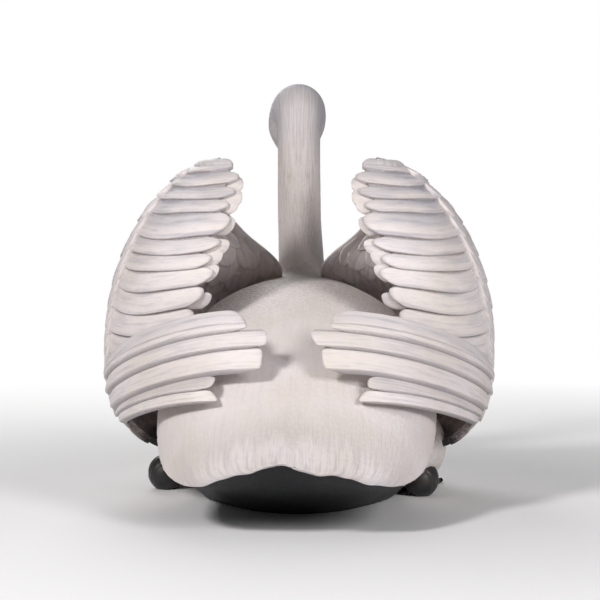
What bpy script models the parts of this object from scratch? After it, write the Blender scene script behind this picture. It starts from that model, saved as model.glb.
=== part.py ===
"""A life-size mute swan statue: a painted resin casting of a swan that sits with both wings raised.

Metres, +Z up. The swan faces -Y, its left side is +X, and it sits on the floor at z = 0 with the
middle of its flat underside at the origin. Trunk, tail, neck and head are one loft of rings parted
by thin cuts. Each wing is a cupped shell that carries stepped secondaries and a fan of primaries.
"""

import math

import bmesh
import bpy
import numpy as np

GAP = 0.0003  # clearance between pieces that touch

# Trunk and tail
TRUNK_HALF_WIDTH = 0.222
TAIL_REACH = 0.50  # from the origin back to the tail's edge
TAIL_EDGE_Z = 0.091
BACK_Z = 0.357
PLAN_ROUNDING = 3.0  # exponent of the rounded plan of the rear
KEEL_DEPTH = 0.045  # how far the rounded belly would reach below the floor, where it is cut flat
BELLY_FULLNESS = 2.4  # exponent of the rings' lower halves, less behind the middle
FLANK_FULLNESS = 1.78

# Neck and head
NECK_LEAN = 0.006  # the neck stands this far to the swan's left
HEAD_TURN = math.radians(5.0)  # and the head looks a little to the left
TURN_AXIS_Y = -0.190
EYE_RADIUS = 0.0085
EYE_PLACE = (0.0350, -0.3020, 0.6215)
BILL_LENGTH = 0.108
BILL_DROOP = math.radians(43.0)
KNOB_RADII = (0.0125, 0.0165, 0.0125)

# Wings
CUP_CENTRE_X = 0.070
CUP_CENTRE_Z = 0.256
CUP_HALF_WIDTH = 0.2465
CUP_RISE = 0.310  # from the cup's middle to its top
CUP_DROP = 0.200  # from the cup's middle to its lowest level
SHELL_THICKNESS = 0.011
VANE_THICKNESS = 0.0075
VANE_STEP = 0.0045  # how far each vane stands proud of the one below it
SECONDARIES = 11
SECONDARIES_BOTTOM_Z = 0.212
SECONDARIES_TOP_Z = 0.553
COVERT_EDGE = 0.56  # where along the section the secondaries come out from under the coverts
EDGE_GAP = 0.002  # the share of the section left free between the coverts and the vanes
SHELL_START, SHELL_END = math.radians(-62), math.radians(73)  # the shell's height, as angles of its outline
PRIMARY_THICKNESS = 0.0085
VANE_ROWS = (0.03, 0.24, 0.76, 0.97)  # rows of points across each secondary, as shares of its width
PRIMARY_ROWS = (0.04, 0.28, 0.75, 0.96)
TIP_ROUNDING = 0.10  # how much shorter a secondary is at its edges

AROUND = 24  # points on each ring of the loft
SHARP_ANGLE = math.radians(40)  # edges sharper than this are shaded sharp

PAINT = {
    "cream_paint": ((0.80, 0.75, 0.72), 0.55),
    "wing_paint": ((0.82, 0.77, 0.73), 0.55),
    "black_paint": ((0.022, 0.022, 0.024), 0.45),
    "bill_paint": ((0.80, 0.26, 0.05), 0.35),
    "eye_paint": ((0.012, 0.009, 0.008), 0.12),
}


# ---------------------------------------------------------------- helpers

def clear_scene():
    for obj in list(bpy.data.objects):
        bpy.data.objects.remove(obj, do_unlink=True)


def make_material(name):
    colour, roughness = PAINT[name]
    material = bpy.data.materials.new(name)
    material.use_nodes = True
    shader = material.node_tree.nodes["Principled BSDF"]
    shader.inputs["Base Color"].default_value = (*colour, 1.0)
    shader.inputs["Roughness"].default_value = roughness
    shader.inputs["Metallic"].default_value = 0.0
    return material


def signed_volume(points, faces):
    total = 0.0
    for face in faces:
        for k in range(1, len(face) - 1):
            total += np.dot(points[face[0]], np.cross(points[face[k]], points[face[k + 1]]))
    return total / 6.0


def add_solid(name, points, faces, material, helper=False):
    """A mesh object whose faces point outwards. A helper is a cutter, which isn't rendered."""
    points = np.asarray(points, float)
    if signed_volume(points, faces) < 0:
        faces = [tuple(reversed(face)) for face in faces]
    mesh = bpy.data.meshes.new(name)
    mesh.from_pydata(points.tolist(), [], faces)
    mesh.materials.append(material)
    mesh.shade_smooth()
    mesh.set_sharp_from_angle(angle=SHARP_ANGLE)
    obj = bpy.data.objects.new(name, mesh)
    bpy.context.scene.collection.objects.link(obj)
    if helper:
        obj.hide_render = True
        obj.display_type = "WIRE"
    return obj


def cut(obj, cutter):
    modifier = obj.modifiers.new("cut by " + cutter.name, "BOOLEAN")
    modifier.operation = "DIFFERENCE"
    modifier.object = cutter
    modifier.solver = "EXACT"


def flatten_at_floor(obj):
    """Cuts off what is below the floor and closes the cut with one flat face."""
    work = bmesh.new()
    work.from_mesh(obj.data)
    everything = work.verts[:] + work.edges[:] + work.faces[:]
    sliced = bmesh.ops.bisect_plane(
        work, geom=everything, dist=1e-6, plane_co=(0, 0, 0), plane_no=(0, 0, 1), clear_inner=True
    )
    rim = [item for item in sliced["geom_cut"] if isinstance(item, bmesh.types.BMEdge)]
    if rim:
        bmesh.ops.contextual_create(work, geom=rim)
    bmesh.ops.recalc_face_normals(work, faces=work.faces[:])
    work.to_mesh(obj.data)
    work.free()


def through(knots, at):
    """Values at `at` on the smooth curve through knots, whose first column is the parameter."""
    knots = np.asarray(knots, float)
    x, y = knots[:, 0], knots[:, 1:]
    slope = np.gradient(y, x, axis=0)
    at = np.clip(np.atleast_1d(np.asarray(at, float)), x[0], x[-1])
    i = np.clip(np.searchsorted(x, at, side="right") - 1, 0, len(x) - 2)
    step = (x[i + 1] - x[i])[:, None]
    f = (at[:, None] - x[i][:, None]) / step
    return (
        y[i] * (2 * f**3 - 3 * f**2 + 1)
        + slope[i] * step * (f**3 - 2 * f**2 + f)
        + y[i + 1] * (3 * f**2 - 2 * f**3)
        + slope[i + 1] * step * (f**3 - f**2)
    )


def loft_faces(rings, around):
    """Triangles of a closed tube of rings, with both ends capped."""
    faces = []
    for r in range(rings - 1):
        for k in range(around):
            n = (k + 1) % around
            a, b, c, d = r * around + k, r * around + n, (r + 1) * around + n, (r + 1) * around + k
            faces += [(a, b, c), (a, c, d)]
    faces.append(tuple(reversed(range(around))))
    faces.append(tuple(range((rings - 1) * around, rings * around)))
    return faces


def slab(outer, inner):
    """Points and triangles of the closed slab between two grids of the same shape."""
    rows, columns = outer.shape[:2]
    points = np.concatenate([outer.reshape(-1, 3), inner.reshape(-1, 3)])
    half = rows * columns
    faces = []
    for i in range(rows - 1):
        for j in range(columns - 1):
            a, b = i * columns + j, i * columns + j + 1
            c, d = a + columns, b + columns
            faces += [(a, b, d), (a, d, c)]
            faces += [(half + a, half + d, half + b), (half + a, half + c, half + d)]
    rim = [(0, j) for j in range(columns - 1)]
    rim += [(i, columns - 1) for i in range(rows - 1)]
    rim += [(rows - 1, j) for j in range(columns - 1, 0, -1)]
    rim += [(i, 0) for i in range(rows - 1, 0, -1)]
    ids = [i * columns + j for i, j in rim]
    for a, b in zip(ids, ids[1:] + ids[:1]):
        faces += [(a, half + a, half + b), (a, half + b, b)]
    return points, faces


def turned(points, turn=1.0, lean=1.0):
    """Points leant to the left with the neck, and turned about the upright axis through its top."""
    angle = HEAD_TURN * turn
    points = np.asarray(points, float)
    x, y = points[..., 0], points[..., 1] - TURN_AXIS_Y
    out = points.copy()
    out[..., 0] = x * np.cos(angle) - y * np.sin(angle) + NECK_LEAN * lean
    out[..., 1] = TURN_AXIS_Y + x * np.sin(angle) + y * np.cos(angle)
    return out


# ---------------------------------------------------------------- trunk, tail, neck and head

# Behind the middle, by distance back: the keel's level, and the level where the body is widest.
TAIL_KEEL = [(0, -KEEL_DEPTH), (0.15, -0.030), (0.25, 0.0), (0.38, 0.046), (0.5, 0.087)]
TAIL_RIM = [(0, 0.162), (0.2, 0.135), (0.3, 0.100), (0.38, 0.076), (0.45, 0.072), (0.5, 0.0895)]


def rear_ring(y):
    """One upright ring of the rear: dorsal y z, ventral y z, half width, widest level, fullness."""
    reach = max(y, 0.0) / TAIL_REACH
    half_width = TRUNK_HALF_WIDTH * (1 - reach**PLAN_ROUNDING) ** (1 / PLAN_ROUNDING)
    top = TAIL_EDGE_Z + (BACK_Z - TAIL_EDGE_Z) * (1 - reach**1.8) ** 1.1
    bottom = through(TAIL_KEEL, y)[0, 0]
    rim = through(TAIL_RIM, y)[0, 0]
    rounder = min(max((y - 0.02) / 0.18, 0.0), 1.0)
    fullness = BELLY_FULLNESS + (FLANK_FULLNESS - BELLY_FULLNESS) * rounder * rounder * (3 - 2 * rounder)
    return [y, top, y, bottom, half_width, (top - rim) / (top - bottom), fullness]


# The same seven values from the back's crest round the breast, up the neck and over the head.
FRONT_RINGS = [
    [-0.050, 0.3570, -0.080, -0.045, 0.2190, 0.49, 2.4],  # middle of the back
    [-0.100, 0.3575, -0.190, -0.034, 0.2080, 0.48, 2.4],
    [-0.128, 0.3590, -0.290, 0.008, 0.1860, 0.47, 2.3],  # shoulders
    [-0.145, 0.3610, -0.360, 0.070, 0.1500, 0.46, 2.2],
    [-0.157, 0.3670, -0.402, 0.145, 0.1040, 0.46, 2.1],  # breast
    [-0.164, 0.3800, -0.410, 0.225, 0.0640, 0.45, 2.0],
    [-0.168, 0.4040, -0.388, 0.300, 0.0440, 0.43, 2.0],
    [-0.168, 0.4370, -0.340, 0.375, 0.0395, 0.45, 2.0],  # foot of the neck
    [-0.164, 0.4750, -0.283, 0.445, 0.0380, 0.50, 2.0],
    [-0.158, 0.5200, -0.243, 0.512, 0.0375, 0.50, 2.0],
    [-0.154, 0.5720, -0.231, 0.570, 0.0370, 0.50, 2.0],  # upper neck
    [-0.158, 0.6220, -0.229, 0.592, 0.0375, 0.50, 2.0],
    [-0.181, 0.6700, -0.230, 0.602, 0.0410, 0.50, 2.0],  # nape
    [-0.220, 0.6980, -0.233, 0.606, 0.0470, 0.52, 2.0],  # crown
    [-0.262, 0.6940, -0.239, 0.601, 0.0505, 0.56, 2.1],
    [-0.294, 0.6710, -0.250, 0.592, 0.0500, 0.58, 2.1],  # cheeks
    [-0.320, 0.6430, -0.268, 0.581, 0.0420, 0.58, 2.1],
    [-0.336, 0.6170, -0.288, 0.570, 0.0310, 0.55, 2.0],
    [-0.344, 0.5990, -0.301, 0.564, 0.0240, 0.52, 2.0],  # base of the bill
]
FRONT_START = 0.020  # the front rings take over from the rear formula here
BREAST, NECK_MIDDLE = 4, 8  # rows of FRONT_RINGS between which the neck leans over
NECK_TOP, CHEEKS = 11, 15  # rows between which the head turns


def front_knots():
    """The front rings with a parameter before each: the distance along the middles of the rings."""
    rings = np.array([rear_ring(FRONT_START + 0.06), rear_ring(FRONT_START)] + FRONT_RINGS)
    middles = (rings[:, 0:2] + rings[:, 2:4]) / 2
    steps = np.linalg.norm(np.diff(middles, axis=0), axis=1)
    return np.column_stack([np.concatenate([[0.0], np.cumsum(steps)]), rings])


KNOTS = front_knots()
FRONT_OFFSET = KNOTS[1, 0] + FRONT_START  # makes the parameter -y at the join
LAST_STATION = KNOTS[-1, 0] - FRONT_OFFSET


def station_of(row):
    """The station of a row of FRONT_RINGS."""
    return KNOTS[row + 2, 0] - FRONT_OFFSET


def share_between(station, first_row, last_row):
    """How far a station is from one row of FRONT_RINGS to another, from 0 to 1."""
    start, end = station_of(first_row), station_of(last_row)
    return min(max((station - start) / (end - start), 0.0), 1.0)


def ring_values(station):
    """The seven values at a station, which is -y on the rear and distance along the middle after it."""
    if station <= -FRONT_START:
        return np.array(rear_ring(-station))
    return through(KNOTS, station + FRONT_OFFSET)[0]


def ring_points(station, around=AROUND, grow=0.0, shift=0.0):
    """One ring of the loft, grown outwards and shifted forwards along its own normal."""
    dorsal_y, dorsal_z, ventral_y, ventral_z, half_width, widest, fullness = ring_values(station)
    dorsal = np.array([0.0, dorsal_y, dorsal_z])
    ventral = np.array([0.0, ventral_y, ventral_z])
    down = (ventral - dorsal) / np.linalg.norm(ventral - dorsal)
    dorsal = dorsal - down * grow
    ventral = ventral + down * grow
    level = dorsal + (ventral - dorsal) * widest
    angles = 2 * np.pi * np.arange(around) / around
    side, up = np.sin(angles), np.cos(angles)
    power = np.where(up < 0, 2 / fullness, 1.0)
    side = np.sign(side) * np.abs(side) ** power
    up = np.sign(up) * np.abs(up) ** power
    along = np.where(up > 0, 1.0, 0.0)[:, None] * (dorsal - level) * up[:, None]
    along = along + np.where(up < 0, 1.0, 0.0)[:, None] * (level - ventral) * up[:, None]
    points = level + along
    points[:, 0] = (half_width + grow) * side
    normal = np.array([0.0, down[2], -down[1]])
    points = points + normal * shift
    turn = share_between(station, NECK_TOP, CHEEKS)
    lean = share_between(station, BREAST, NECK_MIDDLE)
    return turned(points, turn, lean)


TAIL_CUT = -0.330
NECK_CUT = station_of(6)
NECK_MIDDLE_CUT = station_of(8) + 0.012
NECK_UPPER_CUT = station_of(10)
HEAD_CUT = station_of(11) + 0.012


def spread(start, end, count):
    return list(np.linspace(start, end, count))


def tail_stations():
    """Stations from the tail's edge inwards, closer together where the plan rounds."""
    angles = np.linspace(math.radians(85.5), math.asin(-TAIL_CUT / TAIL_REACH), 7)
    return [-TAIL_REACH * math.sin(angle) for angle in angles]


FLESH = {
    "tail": tail_stations(),
    "trunk": spread(TAIL_CUT, -0.06, 6) + spread(0.0, NECK_CUT, 12),
    "neck_lower": spread(NECK_CUT, NECK_MIDDLE_CUT, 5),
    "neck_middle": spread(NECK_MIDDLE_CUT, NECK_UPPER_CUT, 5),
    "neck_upper": spread(NECK_UPPER_CUT, HEAD_CUT, 5),
    "head": spread(HEAD_CUT, LAST_STATION, 11),
}


def flesh_solid(name, material):
    """One length of the loft, its ends drawn in by half the gap."""
    stations = FLESH[name]
    rings = []
    for index, station in enumerate(stations):
        shift = 0.0
        if index == 0 and name != "tail":
            shift = GAP / 2
        elif index == len(stations) - 1:
            shift = -GAP / 2
        rings.append(ring_points(station, shift=shift))
    points = np.concatenate(rings)
    obj = add_solid(name, points, loft_faces(len(rings), AROUND), material)
    if name in ("tail", "trunk"):
        flatten_at_floor(obj)
    return obj


def flesh_cutter(material):
    """The trunk's neighbours as one grown solid, for cutting the wings and legs free of them."""
    stations = []
    for name in ("tail", "trunk", "neck_lower"):
        stations += [s for s in FLESH[name] if not stations or s > stations[-1] + 1e-6]
    points = np.concatenate([ring_points(station, grow=GAP) for station in stations])
    return add_solid("flesh_cutter", points, loft_faces(len(stations), AROUND), material, helper=True)


# ---------------------------------------------------------------- bill, knob and eyes

def bill_frame():
    """Origin and axes of the bill: forwards along it and up, before the head's turn."""
    values = ring_values(LAST_STATION)
    base = np.array([0.0, (values[0] + values[2]) / 2, (values[1] + values[3]) / 2])
    forward = np.array([0.0, -math.cos(BILL_DROOP), -math.sin(BILL_DROOP)])
    up = np.array([0.0, -math.sin(BILL_DROOP), math.cos(BILL_DROOP)])
    return base, forward, up


# Along the bill: share of its length, top, gape, bottom and half width, in metres from its axis.
BILL_SECTIONS = [
    [0.00, 0.0255, -0.0105, -0.0250, 0.0220],
    [0.15, 0.0215, -0.0095, -0.0205, 0.0200],
    [0.40, 0.0125, -0.0075, -0.0155, 0.0178],
    [0.65, 0.0060, -0.0065, -0.0135, 0.0184],
    [0.85, 0.0030, -0.0068, -0.0125, 0.0176],
    [0.95, 0.0008, -0.0076, -0.0120, 0.0138],
    [1.00, -0.0040, -0.0088, -0.0112, 0.0075],
]


def bill_half(name, upper, material, around=12, rings=9):
    """The upper or lower mandible: a loft of half sections that meets the other at the gape."""
    base, forward, up = bill_frame()
    dorsal_ring = ring_values(LAST_STATION)
    face_down = np.array([0.0, dorsal_ring[2] - dorsal_ring[0], dorsal_ring[3] - dorsal_ring[1]])
    face_down = face_down / np.linalg.norm(face_down)
    face_normal = np.array([0.0, face_down[2], -face_down[1]])
    points = []
    for t in np.sin(np.linspace(0, np.pi / 2, rings)):
        _, top, gape, bottom, half_width = np.concatenate([[t], through(BILL_SECTIONS, t)[0]])
        for angle in np.linspace(0, np.pi, around):
            across = half_width * math.cos(angle)
            rise = abs(math.sin(angle)) ** 0.8
            if upper:
                height = gape + GAP / 2 + (top - gape) * rise
            else:
                height = gape - GAP / 2 - (gape - bottom) * rise
                across = across * 0.94
            point = base + forward * (t * BILL_LENGTH) + up * height
            # The bill's first ring lies on the face's plane, the gap in front of it.
            if t == 0:
                short = np.dot(base - point, face_normal) + GAP
                point = point + forward * short / np.dot(forward, face_normal)
            points.append(point + np.array([across, 0.0, 0.0]))
    return add_solid(name, turned(points), loft_faces(rings, around), material)


def ellipsoid(centre, radii, tilt, across=12, along=8):
    """Points and faces of an ellipsoid, tilted about the x axis."""
    points = [(0.0, 0.0, radii[2])]
    for i in range(1, along):
        fall = math.pi * i / along
        for k in range(across):
            turn = 2 * math.pi * k / across
            points.append((
                radii[0] * math.sin(fall) * math.cos(turn),
                radii[1] * math.sin(fall) * math.sin(turn),
                radii[2] * math.cos(fall),
            ))
    points.append((0.0, 0.0, -radii[2]))
    last = len(points) - 1
    faces = []
    for k in range(across):
        n = (k + 1) % across
        faces.append((0, 1 + k, 1 + n))
        faces.append((last, last - across + n, last - across + k))
        for i in range(along - 2):
            a = 1 + i * across
            faces.append((a + k, a + across + k, a + across + n, a + n))
    points = np.array(points)
    y, z = points[:, 1].copy(), points[:, 2].copy()
    points[:, 1] = y * math.cos(tilt) - z * math.sin(tilt)
    points[:, 2] = y * math.sin(tilt) + z * math.cos(tilt)
    return points + np.array(centre), faces


def add_ellipsoid(name, centre, radii, material, tilt=0.0, grow=0.0, helper=False, on_head=False):
    points, faces = ellipsoid(centre, [r + grow for r in radii], tilt)
    return add_solid(name, turned(points) if on_head else points, faces, material, helper)


def head_details(head, bill_upper, materials):
    """The knob over the bill and the eyes, with the head and bill cut clear of them."""
    base, forward, up = bill_frame()
    knob_centre = base + up * 0.0250 - forward * 0.0010
    knob_tilt = BILL_DROOP
    knob_cutter = add_ellipsoid(
        "knob_cutter", knob_centre, KNOB_RADII, materials["black_paint"], knob_tilt, GAP, True, True
    )
    add_ellipsoid("bill_knob", knob_centre, KNOB_RADII, materials["black_paint"], knob_tilt, on_head=True)
    cut(head, knob_cutter)
    cut(bill_upper, knob_cutter)
    for name, side in (("eye_left", 1), ("eye_right", -1)):
        centre = (side * EYE_PLACE[0], EYE_PLACE[1], EYE_PLACE[2])
        radii = (EYE_RADIUS,) * 3
        paint = materials["eye_paint"]
        socket = add_ellipsoid(name + "_socket", centre, radii, paint, 0.0, GAP, True, True)
        add_ellipsoid(name, centre, radii, paint, on_head=True)
        cut(head, socket)


# ---------------------------------------------------------------- wings

# Rims of the cup by level: the inner front rim beside the neck and the inner rear rim at the
# feather tips, and how far back the cup is widest. Columns: level z, x, y.
FRONT_RIM = [
    [0.05, 0.130, -0.100],
    [0.15, 0.100, -0.200],
    [0.22, 0.080, -0.240],
    [0.30, 0.050, -0.210],
    [0.36, 0.033, -0.112],
    [0.43, 0.098, -0.100],
    [0.50, 0.142, -0.045],
    [0.56, 0.125, 0.035],
]
REAR_RIM = [
    [0.05, 0.190, 0.120],
    [0.20, 0.150, 0.190],
    [0.31, 0.129, 0.205],
    [0.42, 0.093, 0.200],
    [0.50, 0.077, 0.170],
    [0.53, 0.082, 0.145],
    [0.56, 0.112, 0.100],
]
WIDEST_Y = [[0.05, -0.02], [0.30, 0.0], [0.45, 0.015], [0.56, 0.050]]
# How far the feathers' middles droop, by level.
SAG = [[0.05, 0.0], [0.22, 0.014], [0.34, 0.026], [0.45, 0.012], [0.56, 0.0]]


def cup_half_width(level):
    """The outer outline of the wing seen from behind: an ellipse above, a fuller one below."""
    height, power = (CUP_RISE, 2) if level > CUP_CENTRE_Z else (CUP_DROP, 3)
    share = min(abs(level - CUP_CENTRE_Z) / height, 1.0)
    return CUP_CENTRE_X + CUP_HALF_WIDTH * (1 - share**power) ** (1 / power)


def bezier(p0, p1, p2, p3, t):
    return p0 * (1 - t) ** 3 + 3 * p1 * t * (1 - t) ** 2 + 3 * p2 * t**2 * (1 - t) + p3 * t**3


def cup_point(level, t):
    """A point of the cup's sheet: t runs from the front rim (0) past the widest (0.5) to the tips (1)."""
    front = np.append(through(FRONT_RIM, level)[0], level)
    rear = np.append(through(REAR_RIM, level)[0], level)
    widest = np.array([cup_half_width(level), through(WIDEST_Y, level)[0, 0], level])
    sag = through(SAG, level)[0, 0]
    if t <= 0.5:
        reach = np.linalg.norm(widest - front)
        out = front + 0.50 * reach * np.array([math.cos(0.6), -math.sin(0.6), 0.0])
        back = widest - np.array([0.0, 0.45 * (widest[1] - front[1]), 0.0])
        point = bezier(front, out, back, widest, t * 2)
        point[2] += 0.6 * sag * (1 - t * 2)
        return point
    depth = rear[1] - widest[1]
    span = widest[0] - rear[0]
    back = widest + np.array([0.0, 0.62 * depth, 0.0])
    out = rear + np.array([0.62 * span, 0.06 * span, 0.0])
    share = t * 2 - 1
    point = bezier(widest, back, out, rear, share)
    point[2] -= sag * math.sin(math.pi * share) * (1.15 - 0.3 * share)
    return point


def cup_grid(levels, shares):
    """The sheet's points and unit normals (pointing out of the cup) at levels x shares."""
    h = 1e-4

    def sheet(rise, along):
        return np.array([[cup_point(z + rise, min(max(t + along, 0), 1)) for t in shares] for z in levels])

    grid = sheet(0, 0)
    normal = np.cross(sheet(0, h) - sheet(0, -h), sheet(h, 0) - sheet(-h, 0))
    normal = normal / np.linalg.norm(normal, axis=2)[:, :, None]
    return grid, normal


def sided(points, side):
    return np.asarray(points, float) * np.array([side, 1.0, 1.0])


def wing_shell(name, side, material, cutter):
    """The arm and its coverts: the front half of the cup, grown out of the shoulder and flank."""
    angles = np.linspace(SHELL_START, SHELL_END, 13)
    levels = [CUP_CENTRE_Z + (CUP_RISE if angle > 0 else CUP_DROP) * math.sin(angle) for angle in angles]
    grid, normal = cup_grid(levels, np.linspace(0.0, COVERT_EDGE - EDGE_GAP, 11))
    thickness = SHELL_THICKNESS * (0.3 + 0.7 * np.cos(angles))[:, None, None]
    points, faces = slab(grid, grid - normal * thickness)
    obj = add_solid(name, sided(points, side), faces, material)
    cut(obj, cutter)
    return obj


def wing_secondaries(name, side, material, cutters, grow=0.0, helper=False):
    """The sail of secondaries: stepped vanes with rounded tips, each proud at its lower edge."""
    shares = np.linspace(COVERT_EDGE, 1.0, 5)
    shares[0] -= grow  # a cutter also reaches past the roots, as it does below the lowest vane
    fade = np.clip((shares - COVERT_EDGE) / 0.08, 0.0, 1.0)[:, None]
    pitch = (SECONDARIES_TOP_Z - SECONDARIES_BOTTOM_Z) / SECONDARIES
    outer, inner = [], []
    for vane in range(SECONDARIES):
        for across in VANE_ROWS:
            level = SECONDARIES_BOTTOM_Z + pitch * (vane + across) - grow
            rounding = TIP_ROUNDING * abs(2 * across - 1) ** 2.5
            grid, normal = cup_grid([level], COVERT_EDGE + (shares - COVERT_EDGE) * (1 - rounding))
            proud = VANE_STEP * (1 - across) * fade
            outer.append(grid[0] + normal[0] * (proud + grow))
            inner.append(grid[0] - normal[0] * (VANE_THICKNESS - 0.5 * proud + grow))
    points, faces = slab(np.array(outer), np.array(inner))
    obj = add_solid(name, sided(points, side), faces, material, helper)
    for cutter in cutters:
        cut(obj, cutter)
    return obj


# The lines between the primaries, from the highest to the lowest: root z at the wing's outer
# corner, then the x, y, z where the line ends over the rump.
PRIMARY_EDGES = [
    [0.207, 0.083, 0.318, 0.315],
    [0.186, 0.048, 0.340, 0.287],
    [0.163, 0.050, 0.352, 0.262],
    [0.139, 0.057, 0.356, 0.226],
    [0.129, 0.130, 0.365, 0.200],
    [0.119, 0.117, 0.370, 0.182],
]
# How much nearer the middle those lines end on the right wing.
RIGHT_TIPS_IN = (0.020, 0.017, 0.006, 0.003, 0.015, 0.015)
# How far each primary reaches along its upper and its lower edge.
PRIMARY_REACH = [(1.0, 0.90), (1.0, 1.0), (0.99, 1.0), (0.77, 0.97), (1.0, 1.0)]


def primary_edge(row, shares):
    """Points on one line between primaries, from its root to its tip."""
    root_z, tip_x, tip_y, tip_z = row
    root = cup_point(root_z, COVERT_EDGE + EDGE_GAP) + np.array([0.003, 0.0, 0.0])
    tip = np.array([tip_x, tip_y, tip_z])
    reach = tip - root
    early = 0.15 + 0.20 * (root_z - 0.119) / 0.088
    leave = root + np.array([0.006, 0.46 * reach[1], early * reach[2]])
    arrive = tip - np.array([0.58 * reach[0], 0.04 * reach[1], 0.04 * reach[2]])
    return np.array([bezier(root, leave, arrive, tip, t) for t in shares])


def primary_edges(side):
    """The lines between one wing's primaries, as on the left side."""
    if side > 0:
        return PRIMARY_EDGES
    return [[z, x - inwards, y, end] for (z, x, y, end), inwards in zip(PRIMARY_EDGES, RIGHT_TIPS_IN)]


def wing_primaries(name, side, material, cutters):
    """The fan of primaries as one stepped slab, each standing proud of the one below it."""
    shares = np.linspace(0.0, 1.0, 7)
    edges = primary_edges(side)
    outer, inner = [], []
    for blade, (upper_reach, lower_reach) in enumerate(PRIMARY_REACH):
        for across in PRIMARY_ROWS:
            reach = upper_reach + (lower_reach - upper_reach) * across - 0.030 * abs(2 * across - 1) ** 2
            upper = primary_edge(edges[blade], shares * reach)
            lower = primary_edge(edges[blade + 1], shares * reach)
            line = upper + (lower - upper) * across
            along = np.gradient(line, axis=0)
            face = np.cross(along, (0.0, 0.0, 1.0))
            face = face / np.linalg.norm(face, axis=1)[:, None]
            outer.append(line + face * VANE_STEP * across)
            inner.append(line - face * (PRIMARY_THICKNESS - VANE_STEP * across))
    points, faces = slab(np.array(outer), np.array(inner))
    fan = add_solid(name, sided(points, side), faces, material)
    for cutter in cutters:
        cut(fan, cutter)


# ---------------------------------------------------------------- legs

# For each side: how far out and back the heel is, and the sign of x.
LEGS = {"left": (0.226, -0.030, 1), "right": (0.198, 0.040, -1)}
HEEL_RADII = (0.028, 0.034, 0.031)
HEEL_Z = HEEL_RADII[2] - 0.004  # its lowest 4 mm are cut flat at the floor
THIGH_RADII = (0.062, 0.130, 0.066)
THIGH_OUT, THIGH_AHEAD, THIGH_Z = 0.184, 0.085, 0.074  # from the middle, before the heel, over the floor
TOE_REACH = 0.125
TOE_SPREAD = math.radians(21)
WEB_THICKNESS = 0.005
TOE_RIDGE = 0.009
TOE_IN = math.radians(3)
WEB_START = 0.012  # from the ankle to where the web begins
ANKLE_OUT, ANKLE_AHEAD = 0.004, 0.030  # the ankle's place from the heel's middle


def foot_web(name, side, x, y, material):
    """The webbed foot: three toes ridged on a flat web that reaches forwards along the floor."""
    angles = np.linspace(-TOE_SPREAD, TOE_SPREAD, 13)
    radii = np.linspace(0.0, 1.0, 5)
    top, bottom = [], []
    for angle in angles:
        toe = math.cos(math.pi * angle / TOE_SPREAD) ** 2
        reach = TOE_REACH * (0.87 + 0.13 * toe)
        heading = angle - TOE_IN
        row = []
        for r in radii:
            forward = np.array([math.sin(heading), -math.cos(heading), 0.0])
            place = np.array([x, y, 0.0]) + forward * (WEB_START + r * reach)
            height = WEB_THICKNESS + TOE_RIDGE * toe * (1 - 0.75 * r) + 0.006 * (1 - r) ** 2
            row.append(place + np.array([0.0, 0.0, height]))
        top.append(row)
        bottom.append([p * np.array([1.0, 1.0, 0.0]) for p in row])
    points, faces = slab(np.array(top), np.array(bottom))
    return add_solid(name, sided(points, side), faces, material)


def leg_and_foot(side_name, materials, cutter):
    """The heel, the feathered thigh over it and the webbed foot in front of it."""
    x, y, side = LEGS[side_name]
    black, cream = materials["black_paint"], materials["cream_paint"]
    heel_place = (side * x, y, HEEL_Z)
    thigh_place = (side * THIGH_OUT, y - THIGH_AHEAD, THIGH_Z)
    heel = add_ellipsoid("heel_" + side_name, heel_place, HEEL_RADII, black)
    flatten_at_floor(heel)
    heel_cutter = add_ellipsoid(
        "heel_cutter_" + side_name, heel_place, HEEL_RADII, black, grow=GAP, helper=True
    )
    thigh = add_ellipsoid("thigh_" + side_name, thigh_place, THIGH_RADII, cream)
    thigh_cutter = add_ellipsoid(
        "thigh_cutter_" + side_name, thigh_place, THIGH_RADII, cream, grow=GAP, helper=True
    )
    foot = foot_web("foot_" + side_name, side, x + ANKLE_OUT, y - ANKLE_AHEAD, black)
    cut(thigh, cutter)
    cut(thigh, heel_cutter)
    cut(heel, cutter)
    cut(foot, cutter)
    cut(foot, heel_cutter)
    cut(foot, thigh_cutter)
    return thigh_cutter


# ---------------------------------------------------------------- the statue

def build():
    clear_scene()
    materials = {name: make_material(name) for name in PAINT}
    flesh = {name: flesh_solid(name, materials["cream_paint"]) for name in FLESH}
    cutter = flesh_cutter(materials["cream_paint"])
    bill_upper = bill_half("bill_upper", True, materials["bill_paint"])
    bill_half("bill_lower", False, materials["black_paint"])
    head_details(flesh["head"], bill_upper, materials)
    for side_name, side in (("left", 1), ("right", -1)):
        paint = materials["wing_paint"]
        thigh_cutter = leg_and_foot(side_name, materials, cutter)
        shell = wing_shell("wing_" + side_name, side, paint, cutter)
        cut(shell, thigh_cutter)
        wing_secondaries(f"wing_{side_name}_secondaries", side, paint, [cutter])
        vanes = wing_secondaries(f"vane_cutter_{side_name}", side, paint, [], GAP, True)
        wing_primaries(f"wing_{side_name}_primaries", side, paint, [cutter, vanes])


build()
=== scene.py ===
"""The looks of the mute swan statue: cast resin with moulded feathers, painted cream, grey and black.

Metres, in the frame's axes: the swan faces -Y, its left side is +X, and the floor is z = 0. One skin
covers trunk, tail, neck, head and thighs, and small moulded feathers lie over it. Each wing is a slab
under rows of coverts, with secondaries, primaries, crown and shoulder feathers as thick vanes.

Every point has a tone, its shares of brown wash and painted shade, grey haze and black spray. The wash is
partly painted shade: it darkens hollows, the edges and roots of feathers that lie under others, faces turned
down and the wings' lower rims, where black is painted for shade too. The Flow map is metres across and
along a feather, for brushed streaks, and OFBake is its place on the bake map.
"""

import math

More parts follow.
